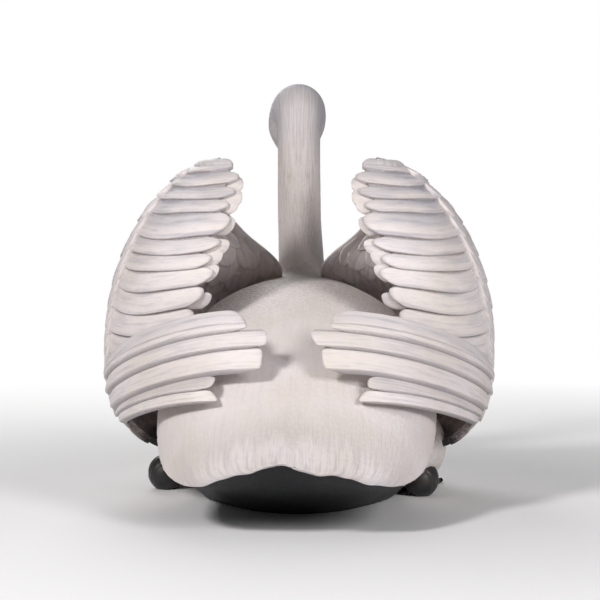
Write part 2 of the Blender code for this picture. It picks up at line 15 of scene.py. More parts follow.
import bmesh
import bpy
import numpy as np
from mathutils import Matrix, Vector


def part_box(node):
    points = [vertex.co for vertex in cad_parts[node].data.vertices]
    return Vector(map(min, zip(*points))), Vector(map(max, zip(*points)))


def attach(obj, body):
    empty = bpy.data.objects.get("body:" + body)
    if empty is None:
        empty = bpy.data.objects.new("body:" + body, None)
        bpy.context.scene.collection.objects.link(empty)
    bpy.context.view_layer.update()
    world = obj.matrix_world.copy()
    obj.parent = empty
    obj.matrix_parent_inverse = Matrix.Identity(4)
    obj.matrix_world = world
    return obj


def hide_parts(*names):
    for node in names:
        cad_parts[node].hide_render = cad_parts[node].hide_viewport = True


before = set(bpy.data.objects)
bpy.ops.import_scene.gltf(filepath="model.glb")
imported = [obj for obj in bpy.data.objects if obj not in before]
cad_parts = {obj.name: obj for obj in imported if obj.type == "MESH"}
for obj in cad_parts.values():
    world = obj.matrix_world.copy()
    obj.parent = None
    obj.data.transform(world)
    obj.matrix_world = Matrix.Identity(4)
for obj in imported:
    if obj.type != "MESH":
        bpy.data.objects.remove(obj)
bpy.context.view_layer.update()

CHANCE = np.random.default_rng(11)
MM = 0.001
UP = np.array([0.0, 0.0, 1.0])
SIDES = (("left", 1), ("right", -1))

# The statue's driving dimensions, as in the solids
TRUNK_HALF_WIDTH = 0.222
TAIL_REACH = 0.50
TAIL_EDGE_Z = 0.091
BACK_Z = 0.357
PLAN_ROUNDING = 3.0
TAIL_KEEL = ((0, -0.045), (0.15, -0.030), (0.25, 0.0), (0.38, 0.046), (0.5, 0.087))
TAIL_RIM = ((0, 0.162), (0.2, 0.135), (0.3, 0.100), (0.38, 0.076), (0.45, 0.072), (0.5, 0.0895))
BELLY_FULLNESS = 2.4
FLANK_FULLNESS = 1.78
NECK_LEAN = 0.006
HEAD_TURN = math.radians(5.0)
TURN_AXIS_Y = -0.190
BILL_LENGTH = 0.108
BILL_DROOP = math.radians(43.0)
CUP_CENTRE_X = 0.070
CUP_CENTRE_Z = 0.256
CUP_HALF_WIDTH = 0.2465
CUP_RISE = 0.310
CUP_DROP = 0.200
SECONDARY_EDGES = (
    0.212, 0.252, 0.291, 0.330, 0.364, 0.393, 0.4155, 0.4375, 0.4725, 0.4915, 0.510, 0.530, 0.553
)
THIGH_RADII = np.array([0.062, 0.130, 0.066])
THIGH_PLACES = ((0.184, -0.115, 0.074), (-0.184, -0.045, 0.074))
KNOB_RADII = (0.0134, 0.0182, 0.0124)
HEEL_RADII = np.array([0.029, 0.034, 0.031])
ANKLES = {"left": (0.230, -0.060, 0.0), "right": (0.202, 0.010, 0.0)}

# Paints, as linear colours
CREAM = (0.800, 0.745, 0.735)
CREAM_WARM = (0.745, 0.675, 0.625)
# A brown wash, which the tones also use as painted shade in hollows and under feathers and wings
WASH_AND_SHADE = (0.145, 0.118, 0.103)
HAZE = (0.425, 0.418, 0.462)
BLACK = (0.014, 0.015, 0.017)
DUSTY_BLACK = (0.044, 0.036, 0.032)
ORANGE = (0.760, 0.205, 0.030)
DEEP_ORANGE = (0.620, 0.135, 0.020)
IRIS_DARK, IRIS_LIGHT, PUPIL = (0.030, 0.014, 0.007), (0.060, 0.028, 0.012), (0.004, 0.004, 0.004)


# ---- small mathematics

def through(knots, at):
    """Values at `at` on the smooth curve through knots, whose first column is the parameter."""
    knots = np.asarray(knots, float)
    x, y = knots[:, 0], knots[:, 1:]
    slope = np.gradient(y, x, axis=0)
    at = np.clip(np.atleast_1d(np.asarray(at, float)), x[0], x[-1])
    i = np.clip(np.searchsorted(x, at, side="right") - 1, 0, len(x) - 2)
    step = (x[i + 1] - x[i])[:, None]
    f = (at[:, None] - x[i][:, None]) / step
    return (
        y[i] * (2 * f**3 - 3 * f**2 + 1)
        + slope[i] * step * (f**3 - 2 * f**2 + f)
        + y[i + 1] * (3 * f**2 - 2 * f**3)
        + slope[i + 1] * step * (f**3 - f**2)
    )


def smoothstep(low, high, x):
    f = np.clip((np.asarray(x, float) - low) / (high - low), 0.0, 1.0)
    return f * f * (3 - 2 * f)


def bell(x, middle, width):
    return np.exp(-(((x - middle) / width) ** 2))


def unit(v):
    return v / np.maximum(np.linalg.norm(v, axis=-1, keepdims=True), 1e-12)


def dot(a, b):
    return (a * b).sum(axis=-1)


def bezier(p0, p1, p2, p3, t):
    return p0 * (1 - t) ** 3 + 3 * p1 * t * (1 - t) ** 2 + 3 * p2 * t**2 * (1 - t) + p3 * t**3


def mirrored(points, side):
    return points * np.array([side, 1.0, 1.0])


def lattice(rows, columns):
    return np.meshgrid(rows, columns, indexing="ij")


def together(*parts):
    """Arrays, spread to one shape, as the parts of one array."""
    return np.stack(np.broadcast_arrays(*parts), axis=-1)


def norm(v):
    return np.linalg.norm(v, axis=-1)


def ring_of(count):
    return 2 * np.pi * np.arange(count) / count


def travelled(points):
    """The distance from the first of a line of points to each of them."""
    return np.concatenate([[0.0], np.cumsum(norm(np.diff(points, axis=0)))])


def rounded_rim(distance, radius):
    """How far a surface drops near its edge, as a quarter circle of that radius."""
    f = np.clip(1 - distance / radius, 0, 1)
    return radius * (1 - np.sqrt(1 - f * f))


def middle_and_size(node):
    low, high = (np.array(corner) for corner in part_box(node))
    return (low + high) / 2, high - low


class Sheet:
    """A smooth surface held as a dense grid of points, read at any place between them."""

    def __init__(self, points, wraps=False, outward=1.0):
        self.points = points
        self.wraps = wraps
        self.rows, self.columns = points.shape[:2]
        self.down_rows = np.gradient(points, axis=0)
        if wraps:
            self.along_rows = (np.roll(points, -1, axis=1) - np.roll(points, 1, axis=1)) / 2
        else:
            self.along_rows = np.gradient(points, axis=1)
        self.normals = outward * unit(np.cross(self.down_rows, self.along_rows))
        self.girths = norm(self.along_rows).sum(axis=1)
        self.distances = travelled(points.mean(axis=1))

    def blend(self, values, row, column):
        """Values of the grid at fractional rows and columns, mixed from the four around each."""
        row = np.clip(row, 0.0, self.rows - 1.001)
        if self.wraps:
            column = np.mod(column, self.columns)
        else:
            column = np.clip(column, 0.0, self.columns - 1.001)
        i, j = np.floor(row).astype(int), np.floor(column).astype(int)
        f, g = (row - i)[..., None], (column - j)[..., None]
        j = j % self.columns
        k = (j + 1) % self.columns
        near = values[i, j] * (1 - g) + values[i, k] * g
        far = values[i + 1, j] * (1 - g) + values[i + 1, k] * g
        return near * (1 - f) + far * f

    def read(self, row, column):
        return self.blend(self.points, row, column), unit(self.blend(self.normals, row, column))

    def walk(self, row, column, offset):
        """The rows and columns reached from (row, column) by steps `offset` in the tangent plane."""
        down = self.blend(self.down_rows, row, column)[:, None, None]
        along = self.blend(self.along_rows, row, column)[:, None, None]
        dd, da, aa = dot(down, down), dot(down, along), dot(along, along)
        od, oa = dot(offset, down), dot(offset, along)
        size = np.maximum(dd * aa - da * da, 1e-16)
        new_row = row[:, None, None] + (aa * od - da * oa) / size
        return new_row, column[:, None, None] + (dd * oa - da * od) / size


# ---- meshes

def painted(shape, wash_and_shade=0.0, haze=0.0, black=0.0):
    """Tones for points of that shape: shares of wash and painted shade, grey haze and black."""
    tone = np.zeros(shape)
    for part, share in enumerate((wash_and_shade, haze, black)):
        tone[..., part] = share
    return tone


def faces_in(grid):
    """Whether a closed grid's faces point in, from the sign of its volume."""
    around = np.concatenate([grid, grid[:, :, :1]], axis=2) - grid.mean(axis=(0, 1, 2))
    corner, along, down = around[:, :-1, :-1], around[:, :-1, 1:], around[:, 1:, :-1]
    return dot(np.cross(along - corner, down - corner), corner).sum() < 0


class Batch:
    """Grids of points gathered into one mesh, with their tones and maps."""

    def __init__(self):
        self.points, self.quads, self.tones, self.flows, self.bakes = [], [], [], [], []
        self.count = 0

    def add(self, grid, tone, flow, bake, wraps=False):
        """grid is (pieces, rows, columns, 3), tone has its shape, flow and bake are (..., 2) by point."""
        pieces, rows, columns = grid.shape[:3]
        if wraps and faces_in(grid):
            grid, tone, flow, bake = (values[:, :, ::-1] for values in (grid, tone, flow, bake))
        index = np.arange(pieces * rows * columns).reshape(pieces, rows, columns) + self.count
        if wraps:
            index = np.concatenate([index, index[:, :, :1]], axis=2)
        corners = together(index[:, :-1, :-1], index[:, :-1, 1:], index[:, 1:, 1:], index[:, 1:, :-1])
        self.points.append(grid.reshape(-1, 3))
        self.quads.append(corners.reshape(-1, 4))
        self.tones.append(np.broadcast_to(tone, grid.shape).reshape(-1, 3))
        for maps, values in ((self.flows, flow), (self.bakes, bake)):
            maps.append(np.broadcast_to(values, grid.shape[:3] + (2,)).reshape(-1, 2))
        self.count += pieces * rows * columns

    def add_one(self, grid, tone, flow, bake=None, wraps=False):
        """One grid, whose bake map is its flow unless it has its own."""
        bake = flow if bake is None else bake
        self.add(grid[None], tone[None], flow[None], bake[None], wraps)

    def make(self, name, material, slot, replaced=()):
        quads = np.concatenate(self.quads)
        points, tones, flow, bake = map(np.concatenate, (self.points, self.tones, self.flows, self.bakes))
        return make_piece(name, points, quads, tones, flow[quads], bake[quads], material, replaced)


def placed(name, data):
    """A new object in the scene that shows data."""
    thing = bpy.data.objects.new(name, data)
    bpy.context.scene.collection.objects.link(thing)
    return thing


def make_piece(name, points, quads, tones, flow, bake, material, replaced=()):
    """A smooth mesh that rides on the statue. flow and bake are maps by face corner."""
    mesh = bpy.data.meshes.new(name)
    mesh.vertices.add(len(points))
    mesh.vertices.foreach_set("co", points.astype(np.float32).ravel())
    mesh.loops.add(len(quads) * 4)
    mesh.loops.foreach_set("vertex_index", quads.astype(np.int32).ravel())
    mesh.polygons.add(len(quads))
    mesh.polygons.foreach_set("loop_start", np.arange(0, len(quads) * 4, 4, dtype=np.int32))
    mesh.update(calc_edges=True)
    for map_name, values in (("OFBake", bake), ("Flow", flow)):
        layer = mesh.uv_layers.new(name=map_name)
        layer.uv.foreach_set("vector", values.astype(np.float32).ravel())
    tone = mesh.attributes.new("tone", "FLOAT_VECTOR", "POINT")
    tone.data.foreach_set("vector", tones.astype(np.float32).ravel())
    mesh.shade_smooth()
    mesh.materials.append(material)
    mesh.validate()
    piece = placed(name, mesh)
    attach(piece, "root")
    if replaced:
        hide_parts(*replaced)
    return piece


# ---- materials

def add_node(tree, kind, inputs=(), **settings):
    """A new node. inputs gives some sockets, by name or number, another's output, a colour or a number."""
    node = tree.nodes.new("ShaderNode" + kind)
    for key, value in settings.items():
        setattr(node, key, value)
    for key, value in dict(inputs).items():
        if isinstance(value, bpy.types.NodeSocket):
            tree.links.new(value, node.inputs[key])
        else:
            node.inputs[key].default_value = (*value, 1.0) if isinstance(value, tuple) else value
    return node


def object_place(tree):
    return add_node(tree, "TexCoord").outputs["Object"]


def parts_of(tree, vector):
    return add_node(tree, "SeparateXYZ", {0: vector}).outputs


def tone_parts(tree):
    return parts_of(tree, add_node(tree, "Attribute", attribute_name="tone").outputs["Vector"])


def noise(tree, vector, scale=1.0, detail=2.0, roughness=0.5, distortion=0.0):
    inputs = {"Vector": vector, "Scale": scale, "Detail": detail, "Roughness": roughness}
    inputs["Distortion"] = distortion
    return add_node(tree, "TexNoise", inputs).outputs["Fac"]


def streaks(tree, across, along, **settings):
    """Noise drawn out along the feathers, at so many waves a metre across and along them."""
    place = add_node(tree, "UVMap", uv_map="Flow").outputs["UV"]
    scaled = add_node(tree, "VectorMath", {0: place}, operation="MULTIPLY")
    scaled.inputs[1].default_value = (across, along, 1.0)
    return noise(tree, scaled.outputs[0], **settings)


def ranged(tree, value, low, high, to_low=0.0, to_high=1.0):
    inputs = {"Value": value, "From Min": low, "From Max": high, "To Min": to_low, "To Max": to_high}
    return add_node(tree, "MapRange", inputs).outputs["Result"]


def math_node(tree, operation, a, b):
    return add_node(tree, "Math", {0: a, 1: b}, operation=operation, use_clamp=True).outputs[0]


def mix(tree, factor, first, second):
    return add_node(tree, "Mix", {"Factor": factor, 6: first, 7: second}, data_type="RGBA").outputs[2]


def mix_shaders(tree, factor, first, second, output):
    choice = add_node(tree, "MixShader", {0: factor, 1: first.outputs[0], 2: second.outputs[0]})
    tree.links.new(choice.outputs[0], tree.nodes[output].inputs["Surface"])


def bump(tree, height, strength, distance, below=None):
    inputs = {"Strength": strength, "Distance": distance, "Height": height}
    if below is not None:
        inputs["Normal"] = below
    return add_node(tree, "Bump", inputs).outputs["Normal"]


def new_material(name):
    material = bpy.data.materials.new(name)
    material.use_nodes = True
    tree = material.node_tree
    return material, tree, tree.nodes["Principled BSDF"]


def coat_with(tree, shader, colour, roughness, normal):
    for name, value in (("Base Color", colour), ("Roughness", roughness), ("Normal", normal)):
        tree.links.new(value, shader.inputs[name])


def feather_paint(name, strands, strand_depth, hollow_wash_and_shade, streak, lock_depth=0.0):
    """Cream paint on moulded feathers, with combed locks on neck and tail rim if lock_depth is given."""
    material, tree, shader = new_material(name)
    place = object_place(tree)
    wash_and_shade, haze, black = tone_parts(tree)
    strands = streaks(tree, *strands, detail=3.0, roughness=0.6)
    blotch = noise(tree, place, 9.0, 3.0)
    speckle = noise(tree, place, 260.0, 2.0)
    colour = mix(tree, ranged(tree, blotch, 0.40, 0.72), CREAM, CREAM_WARM)
    # The tone's wash, speckled, and more in the strands' and locks' hollows: brown wash and painted shade in
    # the recesses
    speckled_wash_and_shade = math_node(tree, "MULTIPLY", wash_and_shade, ranged(tree, speckle, 0.30, 0.62, 0.72, 1.0))
    hollow = ranged(tree, strands, 0.28, 0.48, hollow_wash_and_shade, 0.0)
    grain = bump(tree, speckle, 0.25, 0.25 * MM)
    if lock_depth:
        _, y, z = parts_of(tree, place)
        combed = math_node(tree, "MAXIMUM", ranged(tree, z, 0.34, 0.45), ranged(tree, y, 0.38, 0.47))
        hollow = math_node(tree, "MULTIPLY", hollow, ranged(tree, combed, 0.0, 1.0, 0.25, 1.0))
        strands = math_node(tree, "MULTIPLY", strands, ranged(tree, combed, 0.0, 1.0, 0.30, 1.0))
        locks = streaks(tree, 250.0, 19.0, distortion=0.8)
        locks = math_node(tree, "MULTIPLY", locks, combed)
        deep = math_node(tree, "MULTIPLY", ranged(tree, locks, 0.30, 0.50, 0.22, 0.0), combed)
        hollow = math_node(tree, "ADD", hollow, deep)
        grain = bump(tree, locks, 0.9, lock_depth, grain)
    colour = mix(tree, math_node(tree, "ADD", speckled_wash_and_shade, hollow), colour, WASH_AND_SHADE)
    brush = streaks(tree, 150.0, 11.0, detail=3.0, roughness=0.55)
    cloudy = math_node(tree, "MULTIPLY", haze, ranged(tree, blotch, 0.30, 0.60, 0.65, 1.0))
    cloudy = math_node(tree, "ADD", cloudy, ranged(tree, brush, 0.48, 0.68, 0.0, streak))
    colour = mix(tree, cloudy, colour, HAZE)
    sprayed = math_node(tree, "ADD", black, ranged(tree, speckle, 0.3, 0.7, 0.0, 0.12))
    colour = mix(tree, ranged(tree, sprayed, 0.35, 0.65), colour, BLACK)
    shader.inputs["Specular IOR Level"].default_value = 0.35
    roughness = ranged(tree, speckle, 0.3, 0.7, 0.50, 0.62)
    coat_with(tree, shader, colour, roughness, bump(tree, strands, 0.8, strand_depth, grain))
    return material


def black_paint():
    """Satin black on the feet, dusty and brownish in patches."""
    material, tree, shader = new_material("black_ridged")
    place = object_place(tree)
    fine = noise(tree, place, 320.0, 3.0)
    colour = mix(tree, ranged(tree, noise(tree, place, 30.0), 0.35, 0.65), BLACK, DUSTY_BLACK)
    roughness = ranged(tree, fine, 0.3, 0.7, 0.38, 0.56)
    coat_with(tree, shader, colour, roughness, bump(tree, fine, 0.35, 0.5 * MM))
    return material


def bill_paint():
    """Orange, and black where the tone says: nail, nostrils, edges and base."""
    material, tree, shader = new_material("bill_orange")
    place = object_place(tree)
    fine = noise(tree, place, 300.0, 3.0)
    colour = mix(tree, ranged(tree, noise(tree, place, 45.0), 0.3, 0.7), ORANGE, DEEP_ORANGE)
    edge = math_node(tree, "ADD", tone_parts(tree)[2], ranged(tree, fine, 0.3, 0.7, 0.0, 0.03))
    colour = mix(tree, ranged(tree, edge, 0.42, 0.56), colour, BLACK)
    roughness = ranged(tree, fine, 0.3, 0.7, 0.34, 0.50)
    coat_with(tree, shader, colour, roughness, bump(tree, fine, 0.25, 0.25 * MM))
    return material


def eye_paint():
    """Glossy brown-black glass eye, its iris a shade lighter than its pupil."""
    material, tree, shader = new_material("eye_gloss")
    iris = mix(tree, noise(tree, object_place(tree), 900.0), IRIS_DARK, IRIS_LIGHT)
    tree.links.new(mix(tree, tone_parts(tree)[2], iris, PUPIL), shader.inputs["Base Color"])
    shader.inputs["Roughness"].default_value = 0.06
    shader.inputs["Coat Weight"].default_value = 0.4
    return material


# ---- the body's surface

def turned(points, turn=1.0, lean=1.0):
    """Points leant to the left with the neck and turned about the upright axis through its top."""
    x, y = points[..., 0], points[..., 1] - TURN_AXIS_Y
    angle = HEAD_TURN * turn
    out = points.copy()
    out[..., 0] = x * np.cos(angle) - y * np.sin(angle) + NECK_LEAN * lean
    out[..., 1] = TURN_AXIS_Y + x * np.sin(angle) + y * np.cos(angle)
    return out


def rear_ring(y):
    """One upright ring of the rear: dorsal y z, ventral y z, half width, widest level, fullness."""
    reach = min(max(y, 0.0) / TAIL_REACH, 1.0)
    half_width = TRUNK_HALF_WIDTH * (1 - reach**PLAN_ROUNDING) ** (1 / PLAN_ROUNDING)
    top = TAIL_EDGE_Z + (BACK_Z - TAIL_EDGE_Z) * (1 - reach**1.8) ** 1.1
    bottom = through(TAIL_KEEL, y)[0, 0]
    rim = through(TAIL_RIM, y)[0, 0]
    fullness = BELLY_FULLNESS + (FLANK_FULLNESS - BELLY_FULLNESS) * float(smoothstep(0.02, 0.20, y))
    return [y, top, y, bottom, half_width, (top - rim) / (top - bottom), fullness]


# The same seven values from the back's crest round the breast, up the neck and over the head.
FRONT_RINGS = [
    [-0.050, 0.3570, -0.080, -0.045, 0.2190, 0.49, 2.4],  # middle of the back
    [-0.100, 0.3575, -0.190, -0.034, 0.2080, 0.48, 2.4],
    [-0.128, 0.3590, -0.290, 0.008, 0.1860, 0.47, 2.3],  # shoulders
    [-0.145, 0.3610, -0.360, 0.070, 0.1500, 0.46, 2.2],
    [-0.157, 0.3670, -0.402, 0.145, 0.1040, 0.46, 2.1],  # breast
    [-0.164, 0.3800, -0.410, 0.225, 0.0640, 0.45, 2.0],
    [-0.168, 0.4040, -0.388, 0.300, 0.0440, 0.43, 2.0],
    [-0.168, 0.4370, -0.340, 0.375, 0.0395, 0.45, 2.0],  # foot of the neck
    [-0.164, 0.4750, -0.283, 0.445, 0.0380, 0.50, 2.0],
    [-0.158, 0.5200, -0.243, 0.512, 0.0375, 0.50, 2.0],
    [-0.154, 0.5720, -0.231, 0.570, 0.0370, 0.50, 2.0],  # upper neck
    [-0.158, 0.6220, -0.229, 0.592, 0.0375, 0.50, 2.0],
    [-0.181, 0.6700, -0.230, 0.602, 0.0410, 0.50, 2.0],  # nape
    [-0.220, 0.6980, -0.233, 0.606, 0.0470, 0.52, 2.0],  # crown
    [-0.262, 0.6940, -0.239, 0.601, 0.0505, 0.56, 2.1],
    [-0.294, 0.6710, -0.250, 0.592, 0.0500, 0.58, 2.1],  # cheeks
    [-0.320, 0.6430, -0.268, 0.581, 0.0420, 0.58, 2.1],
    [-0.336, 0.6170, -0.288, 0.570, 0.0310, 0.55, 2.0],
    [-0.344, 0.5990, -0.301, 0.564, 0.0240, 0.52, 2.0],  # base of the bill
]
FRONT_START = 0.020
BODY_COLUMNS = 168
BREAST, NECK_FOOT, NECK_MIDDLE, NECK_TOP, CHEEKS = 4, 6, 8, 11, 15


def front_knots():
    """The front rings with a parameter before each: the distance along the middles of the rings."""
    rings = np.array([rear_ring(FRONT_START + 0.06), rear_ring(FRONT_START)] + FRONT_RINGS)
    return np.column_stack([travelled((rings[:, 0:2] + rings[:, 2:4]) / 2), rings])


KNOTS = front_knots()
FRONT_OFFSET = KNOTS[1, 0] + FRONT_START
LAST_STATION = KNOTS[-1, 0] - FRONT_OFFSET


def station_of(ring):
    return KNOTS[ring + 2, 0] - FRONT_OFFSET


def share_between(first, last, station):
    first, last = station_of(first), station_of(last)
    return np.clip((station - first) / (last - first), 0, 1)


def ring_values(station):
    """The seven values at a station, which is -y on the rear and distance along the middle after it."""
    if station <= -FRONT_START:
        return np.array(rear_ring(-station))
    return through(KNOTS, station + FRONT_OFFSET)[0]


def ring_points(station):
    """One ring of the body, from the back's middle line round by the left side."""
    dorsal_y, dorsal_z, ventral_y, ventral_z, half_width, widest, fullness = ring_values(station)
    dorsal = np.array([0.0, dorsal_y, dorsal_z])
    ventral = np.array([0.0, ventral_y, ventral_z])
    level = dorsal + (ventral - dorsal) * widest
    angles = ring_of(BODY_COLUMNS)
    side, up = np.sin(angles), np.cos(angles)
    power = np.where(up < 0, 2 / fullness, 1.0)
    side, up = (np.sign(values) * np.abs(values) ** power for values in (side, up))
    upper, lower = np.maximum(up, 0)[:, None], np.minimum(up, 0)[:, None]
    points = level + upper * (dorsal - level) + lower * (level - ventral)
    points[:, 0] = half_width * side
    turn, lean = share_between(NECK_TOP, CHEEKS, station), share_between(BREAST, NECK_MIDDLE, station)
    return turned(points, turn, lean)


def body_stations():
    """Stations from the tail's edge to the bill, closer together on the tail's rim, neck and head."""
    parts = [-TAIL_REACH * np.sin(np.radians(np.linspace(89.6, 60, 34)))]
    for end, count in ((station_of(NECK_FOOT), 150), (station_of(NECK_TOP), 96), (LAST_STATION, 126)):
        parts.append(np.linspace(parts[-1][-1], end, count)[1:])
    return np.concatenate(parts)


STATIONS = body_stations()


def row_at(station):
    """The row of the body's grid at a station."""
    return float(np.interp(station, STATIONS, np.arange(len(STATIONS))))


# Height in mm, radius and width of the socket, lid and hollow round each eye
EYE_RELIEF = ((-1.6, 0.0, 0.0065), (1.0, 0.0085, 0.0030), (-0.9, 0.0155, 0.0050))
# The black paint's upper line along the trunk, and the level below which the tail's underside is black
BLACK_LINE = ((-0.40, -0.25, 0.10, 0.25, 0.36, 0.42), (0.035, 0.018, 0.012, 0.020, 0.044, 0.0))
UNDER_TAIL = ((0.00, 0.12, 0.22, 0.32), (0.0, 0.030, 0.078, 0.140))
LORES_WIDTHS = (0.0062, 0.0095)  # the black wedge's half width at the eye, and its growth to the bill
BILL_RIM = (0.0350, 0.0325)  # how far from the bill's base the black rim starts and is full


def push_out_thighs(sheet):
    """The body with its surface pushed out to the thighs where they stand proud of it."""
    points = sheet.points.copy()
    for place in THIGH_PLACES:
        start = (points - np.array(place)) / THIGH_RADII
        ray = sheet.normals / THIGH_RADII
        a, b, c = dot(ray, ray), dot(start, ray), dot(start, start) - 1
        reach = np.where(c < 0, (-b + np.sqrt(np.maximum(b * b - a * c, 0))) / a, 0.0)
        points = points + sheet.normals * reach[..., None]
    return points


def sculpt_body(sheet):
    """The body's grid with the tail's waved rim, the thighs and the eyes' sockets and lids."""
    points = push_out_thighs(sheet)
    normals = sheet.normals
    x, y, z = np.moveaxis(points, -1, 0)
    wave = 0.016 * bell(x, 0.016, 0.048) - 0.006 * smoothstep(0.05, 0.16, np.abs(x))
    wave = wave + 0.0020 * np.sin(x * 80 + 0.7) + 0.0007 * np.sin(x * 190)
    points[..., 2] += smoothstep(0.40, 0.50, y) * wave
    inland = np.maximum(z - 0.094, 0.0)
    stroke = np.sin(inland * 2 * np.pi / 0.0105 + 1.3 * np.sin(x * 70) + 0.9 * np.sin(x * 163 + 2))
    stroke = stroke * (0.55 + 0.45 * np.sin(x * 118 + inland * 260))
    worked = smoothstep(0.40, 0.46, y) * smoothstep(0.055, 0.010, inland) * (normals[..., 2] > 0)
    points += normals * (0.38 * MM * worked * stroke)[..., None]
    for side, _ in SIDES:
        away = norm(points - middle_and_size("eye_" + side)[0])
        for rise, radius, width in EYE_RELIEF:
            points += normals * (rise * MM * bell(away, radius, width))[..., None]
    points[..., 2] = np.maximum(points[..., 2], 0.0)
    return points


def body_sheet():
    rings = np.array([ring_points(station) for station in STATIONS])
    return Sheet(sculpt_body(Sheet(rings, wraps=True)), wraps=True)


def black_line(points, normals):
    """How black the body is sprayed: its underside, below a line that rises to the tail's rim."""
    y, z = points[..., 1], points[..., 2]
    line, rise = np.interp(y, *BLACK_LINE), np.interp(y, *UNDER_TAIL)
    under_tail = smoothstep(-0.30, -0.42, normals[..., 2]) * smoothstep(0.004, -0.004, z - rise)
    return np.maximum(smoothstep(0.002, -0.002, z - line), under_tail)


def lores(points):
    """How black the face is: a wedge from each eye to the bill, and a rim round the bill's base."""
    black = np.zeros(points.shape[:-1])
    base = bill_base()
    for side, _ in SIDES:
        eye, _ = middle_and_size("eye_" + side)
        line = base + np.array([(eye - base)[0] * 0.60, 0.0, 0.012]) - eye
        share = np.clip(dot(points - eye, line) / dot(line, line), 0, 1)
        away = norm(points - (eye + share[..., None] * line))
        half_width = LORES_WIDTHS[0] + LORES_WIDTHS[1] * share
        black = np.maximum(black, smoothstep(0.0015, -0.0015, away - half_width))
    rim = smoothstep(*BILL_RIM, norm(points - base))
    return np.maximum(black, rim * (points[..., 2] > 0.54))


def body_tones(points, normals):
    y, z = points[..., 1], points[..., 2]
    # The head is greyer and darker on its sides and crown than on its nape, whose faces turn to +Y.
    head = smoothstep(0.56, 0.64, z)
    nape = smoothstep(0.35, 0.80, normals[..., 1])
    rim = smoothstep(0.55, 0.10, normals[..., 2]) * smoothstep(0.40, 0.47, y)
    haze = head * (0.75 - 0.45 * nape) + 0.10 * smoothstep(0.38, 0.48, y) + 0.30 * rim
    # Painted shade: the wash rises on faces turned down, under the breast, flanks and tail.
    wash_and_shade = 0.06 + 0.10 * smoothstep(0.0, -0.9, normals[..., 2]) + 0.06 * smoothstep(0.40, 0.60, z)
    wash_and_shade = wash_and_shade + 0.16 * head * (1 - nape)
    return painted(points.shape, wash_and_shade, haze, np.maximum(black_line(points, normals), lores(points)))


def closed_ends(values):
    """Rows of values with one more row at each end, where the whole ring becomes its middle."""
    first, last = (np.broadcast_to(row.mean(axis=0), row.shape) for row in (values[0], values[-1]))
    return np.concatenate([first[None], values, last[None]])


def make_skin(sheet, material):
    points, normals = closed_ends(sheet.points), closed_ends(sheet.normals)
    rows, columns = points.shape[:2]
    index = np.arange(rows * columns).reshape(rows, columns)

    def by_corner(values, after):
        return together(values[:-1], values[1:], after[1:], after[:-1]).reshape(-1, 4)

    def row_values(values):
        """A value of each row, by corner."""
        spread = closed_ends(np.broadcast_to(values[:, None], sheet.points.shape[:2]))
        return by_corner(spread, spread)

    u = np.broadcast_to(np.arange(columns) / columns, (rows, columns))
    u = by_corner(u, u + 1 / columns)
    bake = together(u, row_values(sheet.distances / sheet.distances[-1]))
    flow = together(folded(u) * row_values(sheet.girths), row_values(STATIONS))
    make_piece(
        "skin", points.reshape(-1, 3), by_corner(index, np.roll(index, -1, axis=1)),
        body_tones(points, normals).reshape(-1, 3), flow, bake, material,
        ("trunk", "tail", "neck_lower", "neck_middle", "neck_upper", "head", "thigh_left", "thigh_right"),
    )


# ---- laid feathers

# A feather's rows of points along it and across it: its last steps are its rounded edge.
FINE = (np.array([0.0, 0.50, 0.88, 1.0]), np.array([-1.0, -0.35, 0.35, 1.0]))
STRAND = (np.array([0.0, 0.5, 1.0]), np.array([-1.0, 0.0, 1.0]))
BROAD = (
    np.array([0.0, 0.02, 0.10, 0.30, 0.55, 0.75, 0.88, 0.95, 0.985, 1.0]),
    np.array([-1.0, -0.96, -0.86, -0.60, -0.30, -0.08, 0.08, 0.30, 0.60, 0.86, 0.96, 1.0]),
)
PATCH = 0.003  # a small feather's width on the bake map


def folded(turn):
    """Turns round the body as a distance from its upper middle line, the same on both sides."""
    return np.abs(turn - np.round(turn))


def skin_flow(sheet, rows, columns):
    """Metres round the body and along it: the paint's strokes follow it over skin and feathers alike."""
    every = np.arange(sheet.rows)
    around = folded(columns / sheet.columns) * np.interp(rows, every, sheet.girths)
    return together(around, np.interp(rows, every, STATIONS))


def lay(sheet, place, heading, length, width, shape, heights, rounding=0.40, twist=0.0, on_skin=False):
    """Feathers on a sheet, rooted at a place's rows and columns and turned by heading from down the rows.

    heights(a, b) gives the height over the sheet at shares along and across. Returns the points
    (feathers, along, across, 3) and the flow map in metres.
    """
    rows, columns = place
    a, b = lattice(*shape)
    _, normal = sheet.read(rows, columns)
    down = unit(-sheet.blend(sheet.down_rows, rows, columns))
    side = unit(np.cross(normal, down))
    ahead = down * np.cos(heading)[:, None] + side * np.sin(heading)[:, None]
    across = unit(np.cross(ahead, normal))
    length, width = length[:, None, None], width[:, None, None]
    reach = a * (1 - rounding * np.abs(b) ** 2.4 * a)
    spread = b * (0.62 + 0.38 * np.minimum(a * 3, 1.0)) * (1 - 0.12 * a**4)
    long_part = (length * reach)[..., None] * ahead[:, None, None, :]
    wide_part = (width / 2 * spread)[..., None] * across[:, None, None, :]
    new_rows, new_columns = sheet.walk(rows, columns, long_part + wide_part)
    points, normals = sheet.read(new_rows, new_columns)
    points = points + normals * (heights(a, b) + twist * b * a)[..., None]
    if on_skin:
        return points, skin_flow(sheet, new_rows, new_columns)
    flow = [rows[:, None, None] * 0.37 + width / 2 * b, columns[:, None, None] * 0.11 + length * a]
    return points, together(*flow)


def low_relief(lift, sink=0.4 * MM):
    """Small feathers' heights: sunk at the root and the sides, standing proud at the tip by lift."""
    lift = np.atleast_1d(lift)[:, None, None]

    def heights(a, b):
        top = lift * np.minimum(0.1 + a * 1.8, 1.0) * (1 - 0.35 * b * b)
        edge = (np.abs(b) > 0.99) | (a > 0.99) | (a < 0.01)
        return np.where(edge[None], -sink, top)
    return heights


